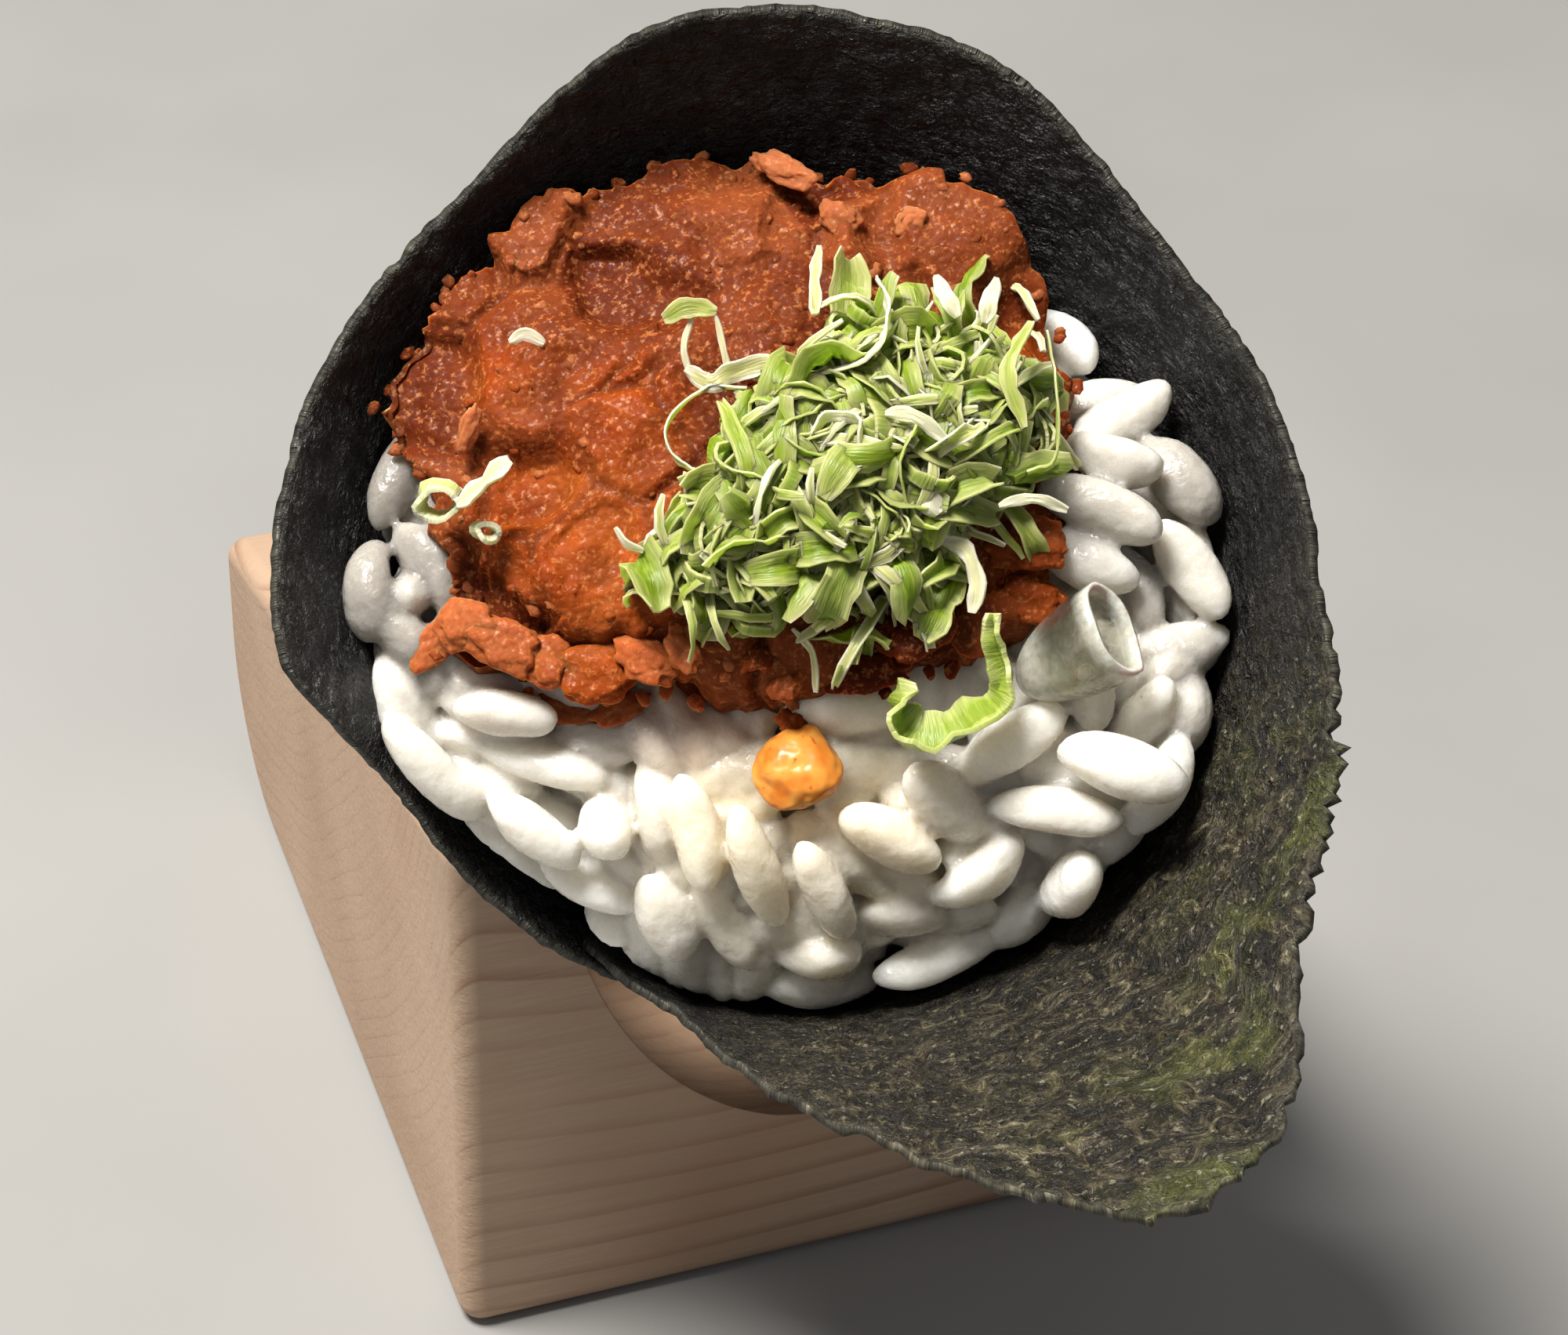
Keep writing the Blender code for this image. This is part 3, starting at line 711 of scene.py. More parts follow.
def soften_bore_edge(block):
    """Takes the sharp edge off the bore's mouth, as sandpaper does."""
    bm = bmesh.new()
    bm.from_mesh(block.data)
    bmesh.ops.remove_doubles(bm, verts=bm.verts, dist=0.00001)
    sharp = [e for e in bm.edges if e.is_manifold and e.calc_face_angle(0) > math.radians(38)]
    bmesh.ops.bevel(bm, geom=sharp, offset=BORE_EDGE_ROUND * MM, segments=3, profile=0.5,
                    affect="EDGES", material=-1, clamp_overlap=True)
    bm.to_mesh(block.data)
    bm.free()
    block.data.shade_smooth()
    block.data.set_sharp_from_angle(angle=math.radians(30))
    block.modifiers.new("flat_faces", "WEIGHTED_NORMAL").keep_sharp = True


# ---- Seaweed ----------------------------------------------------------------

def lean_dent(degrees, height, rim):
    """How far the holder's edge presses the sheet in, none at tail and rim."""
    away = abs(wrap_degrees(degrees - LEAN_SIDE)) / LEAN_REACH
    if away >= 1 or height >= rim:
        return 0.0
    rising = max(height, 0.0) / LEAN_HEIGHT
    falling = (rim - height) / max(rim - LEAN_HEIGHT, 1)
    return LEAN_DEPTH * math.cos(math.pi / 2 * away) ** 2 * min(rising, falling, 1.0)


def limit_to_mouth(bm):
    """Keeps a shape clear of the seaweed around it."""
    for v in bm.verts:
        degrees = math.degrees(math.atan2(v.co.y, v.co.x)) % 360
        reach = math.hypot(v.co.x, v.co.y)
        limit = cone_radius(v.co.z) - lean_dent(degrees, v.co.z, LEAN_RIM) - SHEET_CLEARANCE
        if reach > limit:
            v.co.x *= limit / reach
            v.co.y *= limit / reach


def lap_offset(degrees):
    """How far the sheet's end has moved outside its start."""
    return LAP_OFFSET * smoothstep(LAP_START, LAP_START + LAP_LEAD, degrees)


def fray_depth(degrees, amount):
    """Teeth and nicks of the torn rim, always inwards from its line."""
    fine = 1 - abs(bumps(degrees, 3.0, 0, 0.9))
    coarse = abs(bumps(degrees, 9.0, 0, 4.5))
    nick = max(bumps(degrees, 17.0, 0, 1.6) - 0.3, 0.0) * 1.5
    return amount * (0.4 * fine ** 3 + 0.5 * coarse + nick)


def sheet_point(degrees, fraction):
    """Point on the middle of the sheet, round the axis and from tail to rim."""
    rim, flare, fray = (table_value(RIM, degrees, column) for column in (1, 2, 3))
    rim_here = rim - fray_depth(degrees, fray)
    height = TAIL_START + (rim_here - TAIL_START) * fraction
    radius = cone_radius(height) + lap_offset(degrees) - lean_dent(degrees, height, rim)
    if flare > 0 and height > FLARE_START:
        radius += flare * ((height - FLARE_START) / (rim - FLARE_START)) ** FLARE_POWER
    angle = math.radians(degrees)
    return Vector((radius * math.cos(angle), radius * math.sin(angle), height))


def make_sheet():
    bm = bmesh.new()
    bmesh.ops.create_grid(bm, x_segments=SHEET_COLUMNS, y_segments=SHEET_ROWS, size=0.5)
    place = bm.loops.layers.uv.new("sheet")
    thin, olive, edge = float_layers(bm, ("thin", "olive", "edge")).values()
    flat = {}
    for v in bm.verts:
        degrees = SHEET_START + (SHEET_END - SHEET_START) * (v.co.x + 0.5)
        share = (v.co.y + 0.5) ** SHEET_ROW_SPACING
        point = sheet_point(degrees, share)
        flap = 1 - smoothstep(*FLAP_REACH, abs(wrap_degrees(degrees - FLAP_MIDDLE)))
        corner = 1 - smoothstep(*OLIVE_REACH, abs(wrap_degrees(degrees - OLIVE_MIDDLE)))
        # The flap near its rim: its crinkles are larger, and the material paints it lighter there as painted
        # light.
        v[thin] = smoothstep(0.5, 0.85, share) * flap
        v[olive] = smoothstep(0.8, 0.96, share) * corner
        v[edge] = smoothstep(0.988, 1.0, share)
        radius = math.hypot(point.x, point.y)
        out = Vector((point.x, point.y, 0)) / radius
        wave = 0.22 * bumps(point.x, point.y, point.z, 5.0, 2.0) * smoothstep(0.0, 0.4, share)
        wave += (0.14 + 0.3 * v[thin]) * bumps(point.x, point.y, point.z, 1.9, 31.0)
        v.co = point + out * wave
        flat[v.index] = (math.radians(degrees) * SHEET_WIDTH_PER_RADIAN, point.z)
    for face in bm.faces:
        for loop in face.loops:
            loop[place].uv = flat[loop.vert.index]
    bmesh.ops.recalc_face_normals(bm, faces=bm.faces)
    middle = bm.faces[:][len(bm.faces) // 2]
    centre = middle.calc_center_median()
    if middle.normal.dot(Vector((centre.x, centre.y, 0))) < 0:
        bmesh.ops.reverse_faces(bm, faces=bm.faces)
    bmesh.ops.solidify(bm, geom=bm.faces[:], thickness=SHEET_THICKNESS)
    for v in bm.verts:
        roughness = (0.09 + 0.12 * v[thin]) * bumps(v.co.x, v.co.y, v.co.z, 0.8, 57.0)
        v.co += v.normal * roughness
    piece("nori_sheet", bm, seaweed_material(), ("nori",))


# ---- Rice -------------------------------------------------------------------

# Grains that lie on top: place across the mouth, height over the bed, turn, tilt, length.
TOP_GRAINS = (
    (-19.4, -11.4, 1.4, -39, -4, 8.2), (-16.2, -14.4, 1.0, -44, 8, 7.8), (-12.7, -13.0, 1.6, -34, 5, 6.8),
    (-10.3, -15.0, 1.8, -29, -8, 6.6), (-9.2, -12.6, 1.5, -57, 55, 6.4), (-7.1, -12.9, 1.0, -60, 10, 6.6),
    (-5.1, -16.8, 1.4, -53, 12, 6.0), (-9.7, -17.4, 0.8, 6, 0, 5.6), (-6.4, -19.8, 1.2, -16, -5, 8.6),
    (-3.9, -13.3, 1.6, -70, 4, 7.4), (-0.8, -15.0, 2.0, -55, -6, 8.8), (3.8, -15.8, 1.9, -40, -5, 7.2),
    (7.1, -12.7, 1.6, -17, 4, 6.8), (2.7, -18.4, 1.2, 6, 30, 6.0), (-2.3, -17.4, 0.4, -29, 0, 6.8),
    (3.6, -19.6, 0.5, -3, 0, 7.4), (12.1, -14.1, 1.3, 37, 6, 6.6), (10.3, -17.8, 1.2, 19, -4, 8.2),
    (8.2, -16.6, 0.4, -6, 0, 6.0), (16.5, -10.7, 1.8, -3, 3, 8.0), (14.0, -7.6, 1.4, 32, 4, 7.2),
    (19.6, -7.9, 1.9, -18, 2, 8.0), (20.3, -5.2, 0.8, 57, 20, 6.2), (21.5, -11.7, 1.0, 50, -8, 6.4),
    (23.2, -9.3, 1.4, 52, 6, 6.6), (18.5, -12.9, 0.8, 72, 10, 6.2), (17.5, -12.0, 0.2, -9, 0, 6.8),
    (3.8, -6.2, 0.6, 9, 0, 7.2), (6.1, -8.8, 0.4, -7, 0, 7.2), (10.0, -9.9, 0.6, -22, 0, 7.0),
    (18.1, -3.9, 1.0, -74, 0, 6.0), (17.6, 6.6, 2.6, -22, 0, 7.8), (17.4, 9.0, 2.8, -17, 10, 6.4),
    (21.6, 9.4, 1.6, -32, -4, 6.8), (22.2, 4.2, 1.2, -40, -8, 7.0), (17.2, 4.6, 1.8, -21, 0, 7.0),
    (18.6, 13.6, 0.8, 38, 0, 6.8), (19.9, 3.6, 0.4, -71, 0, 6.0), (-23.9, 4.4, 0.8, -68, 0, 6.8),
    (-23.2, -0.8, 1.4, -28, 40, 6.2), (-21.2, 0.2, 0.4, -40, 0, 7.4), (-22.4, -5.2, 0.8, -42, 0, 7.2),
    (-15.4, -7.9, 1.8, -4, 4, 6.6), (-10.7, -8.2, 0.8, -12, 0, 7.2), (-13.0, -10.2, 0.4, -5, 0, 8.4),
    (-5.9, -8.0, 0.8, -45, 0, 6.8),
)
BED_GRAINS = 400
BED_LAYER = (0.6, 3.6)         # how far below the bed's outline the strewn grains start
CORE_DROP = 1.9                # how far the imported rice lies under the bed's outline
CORE_BOTTOM = 4.5
RICE_SKIN = 0.26               # fineness of the skin over grains that stick together
RICE_SKIN_KEPT = 0.3           # share of the skin's faces that stay
REST_ROUNDS = 60
REST_SINK = 0.07
# The clear look holds clear grains and painted shade.
RICE_LOOKS = ("tone", "clear", "stain")
TOP_LIFT = 0.5                 # of the top grains over the heights listed
GRAIN_PRESS = 0.95             # share of their thickness to which grains press together
GRAIN_NEAR = 8.0               # middles further apart than this never touch
GRAIN_PUSH = 0.4               # share of an overlap that one round takes away
WALL_GAP = 0.9                 # between grains and the seaweed
PRESSED_GRAIN = 3.2            # spacing of the grains pressed in the core
PRESSED_DEPTH = 1.1
# Oval places in the bed, as middle and reach.
GROOVE = ((-8, -8.5), (9, 2.6))         # between the front grains and the tuna
GROOVE_SHADE = ((-8, -8.5), (9, 2.2))
SAUCE_RUN = ((1.5, -11), (8, 7))        # cream, where the sauce has run in
TUNA_RUN = ((-6, -6), (8, 2.2))         # stained by the tuna
# How far the strewn grains reach from the axis: degrees, mm.
RICE_REACH = (
    (-205, 22.0), (-165, 22.0), (-150, 20.0), (-138, 17.8), (-124, 15.6), (-108, 16.4),
    (-82, 15.8), (-60, 15.4), (-38, 16.2), (-22, 16.6), (-14, 12.5), (-3, 11.5), (8, 14.5),
    (22, 18.0), (33, 17.0), (42, 8.0), (155, 8.0),
)
# Bare places in the bed beside the seaweed: x, y, radius.
RICE_GAPS = ((21.0, -1.2, 4.2), (17.5, -19.5, 3.2), (-12.5, -20.0, 2.6))


def rice_reach(degrees):
    turned = degrees % 360
    return table_value(RICE_REACH, turned - 360 if turned > RICE_REACH[-1][0] else turned, 1)


def rice_top(x, y):
    """Height of the bed, which keeps level out to its edge."""
    return RICE.top(0.9 * x, 0.9 * y)


def sunk(x, y):
    """How far the bed lies lower: at the left, and between the front and the tuna."""
    left = smoothstep(-14, -20, x) * smoothstep(-9, -4, y)
    return 4.2 * left + 1.6 * soft_spot(x, y, *GROOVE)


def laid_down(x, y, direction):
    """Lays a direction along the slope of the bed."""
    step = 1.5
    rise = rice_top(x + step * direction.x, y + step * direction.y) - rice_top(x, y)
    fall = max(min(rise / step, 1.0), -1.0)
    return Vector((direction.x, direction.y, direction.z + fall)).normalized()


def grain_ends():
    """First places of the grains: the top ones as listed, the others strewn."""
    rng = random.Random(5)
    middles, directions, lengths = [], [], []
    for x, y, lift, turn, tilt, length in TOP_GRAINS:
        direction = direction_at(turn) * math.cos(math.radians(tilt)) + UP * math.sin(math.radians(tilt))
        middles.append((x, y, rice_top(x, y) + lift + TOP_LIFT - sunk(x, y)))
        directions.append(laid_down(x, y, direction))
        lengths.append(length)
    while len(middles) < BED_GRAINS + len(TOP_GRAINS):
        angle, share = rng.uniform(-180, 180), math.sqrt(rng.uniform(0.02, 1))
        reach = rice_reach(angle) * share
        x, y = reach * math.cos(math.radians(angle)), reach * math.sin(math.radians(angle))
        under_tuna = all(TUNA.inside(x + dx, y + dy) for dx, dy in ((3, 0), (-3, 0), (0, 3), (0, -3)))
        if under_tuna or any(math.hypot(x - a, y - b) < gap for a, b, gap in RICE_GAPS):
            continue
        turn = rng.uniform(0, math.pi)
        direction = Vector((math.cos(turn), math.sin(turn), rng.gauss(0, 0.3))).normalized()
        depth = rng.uniform(*BED_LAYER) + sunk(x, y) + (2.0 if TUNA.inside(x, y) else 0.0)
        middles.append((x, y, rice_top(x, y) - depth))
        directions.append(laid_down(x, y, direction))
        lengths.append(rng.uniform(0.74, 1.08) * GRAIN_LENGTH)
    lengths = np.array(lengths)
    middles = np.array(middles, dtype=float)
    halves = np.array(directions) * (lengths / 2 - GRAIN_THICKNESS / 2)[:, None]
    return middles - halves, middles + halves, lengths


def segment_gap(a0, a1, b0, b1):
    """Nearest points of many pairs of segments, as shares along each."""
    u, v, w = a1 - a0, b1 - b0, a0 - b0
    a = np.einsum("ij,ij->i", u, u)
    b = np.einsum("ij,ij->i", u, v)
    c = np.einsum("ij,ij->i", v, v)
    d = np.einsum("ij,ij->i", u, w)
    e = np.einsum("ij,ij->i", v, w)
    s = np.clip((b * e - c * d) / np.maximum(a * c - b * b, 1e-6), 0, 1)
    t = np.clip((b * s + e) / np.maximum(c, 1e-6), 0, 1)
    s = np.clip((b * t - d) / np.maximum(a, 1e-6), 0, 1)
    return s, t


def settle(low, high, lengths, held):
    """Presses the grains apart where they overlap, while they sink onto the bed."""
    radius = GRAIN_THICKNESS / 2 * GRAIN_PRESS
    spans = lengths - GRAIN_THICKNESS
    first, second = np.triu_indices(len(lengths), 1)
    weight = np.ones(len(lengths))
    weight[:held] = 0.0001
    slope = math.tan(math.radians(CONE_HALF_ANGLE))
    for _ in range(REST_ROUNDS):
        middles = (low + high) / 2
        near = np.linalg.norm(middles[first] - middles[second], axis=1) < GRAIN_NEAR
        i, j = first[near], second[near]
        s, t = segment_gap(low[i], high[i], low[j], high[j])
        p = low[i] + (high[i] - low[i]) * s[:, None]
        q = low[j] + (high[j] - low[j]) * t[:, None]
        apart = p - q
        distance = np.maximum(np.linalg.norm(apart, axis=1), 1e-4)
        push = np.maximum(2 * radius - distance, 0) * GRAIN_PUSH
        apart /= distance[:, None]
        share = weight[i] / (weight[i] + weight[j])
        for ends, along in ((low, 1 - s), (high, s)):
            np.add.at(ends, i, apart * (push * share * (0.4 + along))[:, None])
        for ends, along in ((low, 1 - t), (high, t)):
            np.add.at(ends, j, -apart * (push * (1 - share) * (0.4 + along))[:, None])
        for ends in (low, high):
            ends[held:, 2] -= REST_SINK
            reach = np.hypot(ends[:, 0], ends[:, 1])
            limit = TAIL_RADIUS + ends[:, 2] * slope - WALL_GAP - radius
            out = reach > limit
            ends[out, :2] *= (limit[out] / reach[out])[:, None]
            floor = rice_top(ends[held:, 0], ends[held:, 1]) - CORE_DROP - 1.2
            roof = rice_top(ends[held:, 0], ends[held:, 1]) - 0.3
            ends[held:, 2] = np.clip(ends[held:, 2], floor, roof)
        middles = (low + high) / 2
        along = high - low
        along /= np.linalg.norm(along, axis=1)[:, None]
        low[:] = middles - along * (spans / 2)[:, None]
        high[:] = middles + along * (spans / 2)[:, None]


def add_grain(whole, low, high, length, rng):
    """A cooked grain: a little bent, flatter at one side, with ends that differ."""
    bm = bmesh.new()
    bmesh.ops.create_uvsphere(bm, u_segments=12, v_segments=9, radius=1)
    thickness = GRAIN_THICKNESS * rng.uniform(0.82, 1.08)
    width = thickness * rng.uniform(1.0, 1.16)
    ends = rng.uniform(-0.2, 0.04), rng.uniform(-0.06, 0.2)
    bend = rng.uniform(-0.8, 0.8)
    seed = rng.uniform(0, 90)
    for v in bm.verts:
        x, y, z = v.co
        fat = 1 + ends[z > 0] * abs(z) ** 1.5 + 0.26 * bumps(x * 2, y * 2, z * 2, 1.1, seed)
        flat = 0.8 if y < 0 else 1
        v.co = Vector((
            x * width / 2 * fat,
            y * thickness / 2 * fat * flat + bend * (z * z - 0.3),
            z * length / 2 * (1 + 0.08 * bumps(x, y, z, 0.9, seed + 5)),
        ))
    along = Vector(high) - Vector(low)
    turn = along.to_track_quat("Z", "Y").to_matrix().to_4x4()
    spin = Matrix.Rotation(rng.uniform(0, TAU), 4, "Z")
    middle = (Vector(low) + Vector(high)) / 2
    bm.transform(Matrix.Translation(middle) @ turn @ spin)
    gather(whole, bm)


def stuck_together(bm, spacing, share_kept):
    """One skin over closed shapes that overlap, rounded where they touch."""
    mesh = mesh_from("loose", bm)
    loose = add_object("loose", mesh)
    rounded = loose.modifiers.new("rounded", "SUBSURF")
    rounded.levels = rounded.render_levels = 1
    joined = loose.modifiers.new("joined", "REMESH")
    joined.mode = "VOXEL"
    joined.voxel_size = spacing
    softened = loose.modifiers.new("softened", "SMOOTH")
    softened.factor = 0.5
    softened.iterations = 1
    thinned = loose.modifiers.new("thinned", "DECIMATE")
    thinned.ratio = share_kept
    skin_mesh = evaluated_mesh(loose)
    skin = bmesh.new()
    skin.from_mesh(skin_mesh)
    bpy.data.objects.remove(loose)
    bpy.data.meshes.remove(mesh)
    bpy.data.meshes.remove(skin_mesh)
    return skin


def grain_looks(x, y, rng):
    """Tone, clearness and stain of a grain; the clearness also carries painted shade."""
    tone = soft_spot(x, y, *SAUCE_RUN) + rng.uniform(-0.1, 0.15)
    # Painted shade: grains at the left and right edges of the bed and in the groove before the tuna are
    # painted greyer through the clear look; the random part is the grain's own clearness.
    clear = abs(rng.gauss(0, 0.2)) + 0.7 * smoothstep(-15, -19, x) * smoothstep(-9, -4, y)
    clear += 0.45 * smoothstep(14, 18, x) * smoothstep(-9, 0, y)
    clear += 0.3 * soft_spot(x, y, *GROOVE_SHADE)
    stain = 0.3 * soft_spot(x, y, *TUNA_RUN)
    return [min(max(value, 0), 1) for value in (tone, clear, stain)]


def make_rice():
    low, high, lengths = grain_ends()
    settle(low, high, lengths, len(TOP_GRAINS))
    rng = random.Random(11)
    bm = bmesh.new()
    looks = []
    spots = KDTree(5 * len(lengths))
    for number, (a, b, length) in enumerate(zip(low, high, lengths)):
        add_grain(bm, a, b, length, rng)
        looks.append(grain_looks((a[0] + b[0]) / 2, (a[1] + b[1]) / 2, rng))
        for share in (0, 0.25, 0.5, 0.75, 1):
            spots.insert(a + (b - a) * share, number)
    spots.balance()
    bm = stuck_together(bm, RICE_SKIN, RICE_SKIN_KEPT)
    layers = float_layers(bm, RICE_LOOKS)
    for v in bm.verts:
        near = {}
        for _, number, gap in spots.find_n(v.co, 8):
            near.setdefault(number, gap)
        (own, gap), (other, other_gap) = (*near.items(), (0, 9.0))[:2]
        crease = math.exp(-((other_gap - gap) / 0.3) ** 2)
        for layer, value, beside in zip(layers.values(), looks[own], looks[other]):
            v[layer] = value + (beside - value) * 0.5 * crease
        # Painted shade: the creases between grains are painted greyer.
        v[layers["clear"]] = min(v[layers["clear"]] + 0.25 * crease, 1)
    limit_to_mouth(bm)
    finish = rice_material()
    piece("rice_grains", bm, finish, ("rice",))
    make_rice_core(finish)


def make_rice_core(finish):
    """Packed rice below the grains, with a relief of pressed grains."""
    bm = bmesh.new()
    bmesh.ops.create_uvsphere(bm, u_segments=96, v_segments=64, radius=1)
    layers = float_layers(bm, RICE_LOOKS)
    for v in bm.verts:
        degrees, ray, share = spread_out(v.co)
        reach = min(max(rice_reach(degrees) - 1.0, tuna_edge(degrees) - 3), rice_edge(degrees) * 0.95)
        place = ray * reach * min(share, 1)
        top = float(rice_top(place.x, place.y)) - CORE_DROP - 0.6 * sunk(place.x, place.y)
        if share <= 1:
            relief = noise.voronoi(Vector((place.x, place.y, 4 * PRESSED_GRAIN)) / PRESSED_GRAIN)[0][0]
            v.co = place + UP * (top - PRESSED_DEPTH * relief)
        else:
            height = top + (CORE_BOTTOM - top) * (share - 1)
            radius = min(cone_radius(height) - 1.1, reach) if share < 2 else 0.01
            radius -= 1.2 * lean_dent(degrees % 360, height, LEAN_RIM)
            v.co = ray * radius + UP * height
        v[layers["tone"]], v[layers["clear"]] = 0.3, 0.25
    limit_to_mouth(bm)
    bmesh.ops.remove_doubles(bm, verts=bm.verts, dist=0.002)
    bmesh.ops.recalc_face_normals(bm, faces=bm.faces)
    piece("rice_core", bm, finish)


# ---- Tuna -------------------------------------------------------------------

TUNA_MIDDLE = (-5.0, 9.0)
TUNA_FINENESS = 7
# Brighter orange places on the tuna: x, y, reach.
BRIGHT_PLACES = (
    (-11.5, 1.0, 4.8), (-8.0, -1.2, 3.4), (-15.5, 2.5, 3.0), (-14.0, -5.6, 2.6), (-6.5, -5.6, 2.6),
    (-10.0, 9.0, 3.4), (13.4, 2.6, 3.0), (-17.5, 10.5, 2.5), (12.5, 15.5, 2.4),
)
# Dark clear flesh: x, y, reach. The first, at the front right of the scallion heap, is painted shadow of the
# heap.
DARK_PLACES = ((8.5, -1.5, 3.0), (-2.0, 6.5, 3.0), (1.5, 14.5, 3.0), (-17.5, -3.4, 2.2), (4.5, -5.5, 2.0))
# Front edge of the tuna's upper layer, which overhangs the lower one.
LEDGE = (
    (-19.5, 1.5), (-18.0, 0.2), (-16.2, -1.6), (-13.3, -3.4), (-10.5, -4.3), (-6.5, -3.3), (-4.6, -2.6),
)
LEDGE_DROP = 1.7
CHUNK_SIZE = 6.5
LUMP_SIZE = 1.9
GRANULE_SIZE = 0.75
TUNA_LOOKS = ("tone", "bright", "shade_and_dark_flesh", "pale")


def near_places(x, y, places):
    return min(sum(soft_spot(x, y, (a, b), (reach, reach)) for a, b, reach in places), 1.0)


def tuna_surface(x, y, height):
    """Lift of the minced surface and its looks: tone, bright, cleft."""
    warp = Vector((bumps(x, y, height, 3.5, 3.0), bumps(x, y, height, 3.5, 9.0), 0)) * 1.4
    spot = Vector((x, y, height * 0.7)) + warp
    (near, far), (nearest, _) = [pair[:2] for pair in noise.voronoi(spot / CHUNK_SIZE)]
    chunk = noise.cell(nearest * 31.7)
    border = (1 - smoothstep(0.0, 0.16, far - near)) * smoothstep(-0.2, 0.3, bumps(x, y, height, 8, 40.0))
    lump_near, lump_far = noise.voronoi(spot / LUMP_SIZE)[0][:2]
    gap = 1 - smoothstep(0.0, 0.3, lump_far - lump_near)
    granule = noise.voronoi(Vector((x, y, height)) / GRANULE_SIZE)[0][0]
    lift = 1.4 * chunk * smoothstep(0.0, 0.3, far - near) - 0.5 * border - 0.05 * gap
    lift += 0.4 * bumps(x, y, height, 2.6, 15.0) + 0.1 * bumps(x, y, height, 1.1, 25.0)
    lift += 0.12 * (0.5 - granule)
    on_ledge = smoothstep(-20.5, -18.5, x) * (1 - smoothstep(-5.5, -3.5, x))
    edge = float(np.interp(x, *zip(*LEDGE))) + 0.9 * bumps(x, y, 0, 1.6, 71.0)
    above = y - edge
    lift -= LEDGE_DROP * on_ledge * (1 - smoothstep(-0.25, 0.25, above))
    # Painted shade: chunk borders, gaps between lumps and the strip just under the ledge's overhang are
    # painted dark red; the dark places add dark flesh and painted shadow.
    under_ledge = on_ledge * math.exp(-((above + 0.7) / 0.75) ** 2)
    shade_and_dark_flesh = max(0.5 * border + 0.12 * gap, under_ledge, 0.7 * near_places(x, y, DARK_PLACES))
    bright = near_places(x, y, BRIGHT_PLACES) * (0.8 + 0.6 * bumps(x, y, 0, 2, 60.0))
    return lift, (0.5 + 0.5 * chunk, min(max(bright, 0), 1), min(shade_and_dark_flesh, 1))


def make_tuna(finish):
    bm = bmesh.new()
    bmesh.ops.create_icosphere(bm, subdivisions=TUNA_FINENESS, radius=1)
    layers = float_layers(bm, TUNA_LOOKS)
    outline = TUNA.outline(TUNA_MIDDLE)
    for v in bm.verts:
        degrees, ray, share = spread_out(v.co)
        edge = outline(degrees) * 0.985
        edge += 0.7 * bumps(ray.x * 20, ray.y * 20, 0, 2.6, 44.0) - 0.3
        edge += 0.3 * bumps(ray.x * 20, ray.y * 20, 0, 0.8, 48.0)
        wall = min(max((share - 1) / 0.3, 0.0), 1.0)
        reach = edge * min(share, 1) if share < 1.3 else edge * (2 - share) / 0.7
        place = Vector((*TUNA_MIDDLE, 0)) + ray * reach
        top = float(TUNA.top(place.x, place.y))
        floor = min(float(RICE.top(place.x, place.y)) - 0.8, top - 1.5)
        height = top + (floor - top) * wall
        lift, looks = tuna_surface(place.x, place.y, height)
        outward = smoothstep(0.9, 1.08, share) * (1 - smoothstep(1.25, 1.5, share))
        upward = 1 - smoothstep(0.96, 1.12, share)
        v.co = place + UP * height + ray * lift * 0.8 * outward + UP * lift * upward
        for layer, value in zip(layers.values(), looks):
            v[layer] = value
    limit_to_mouth(bm)
    bmesh.ops.recalc_face_normals(bm, faces=bm.faces)
    piece("tuna_mince", bm, finish, ("tuna",))


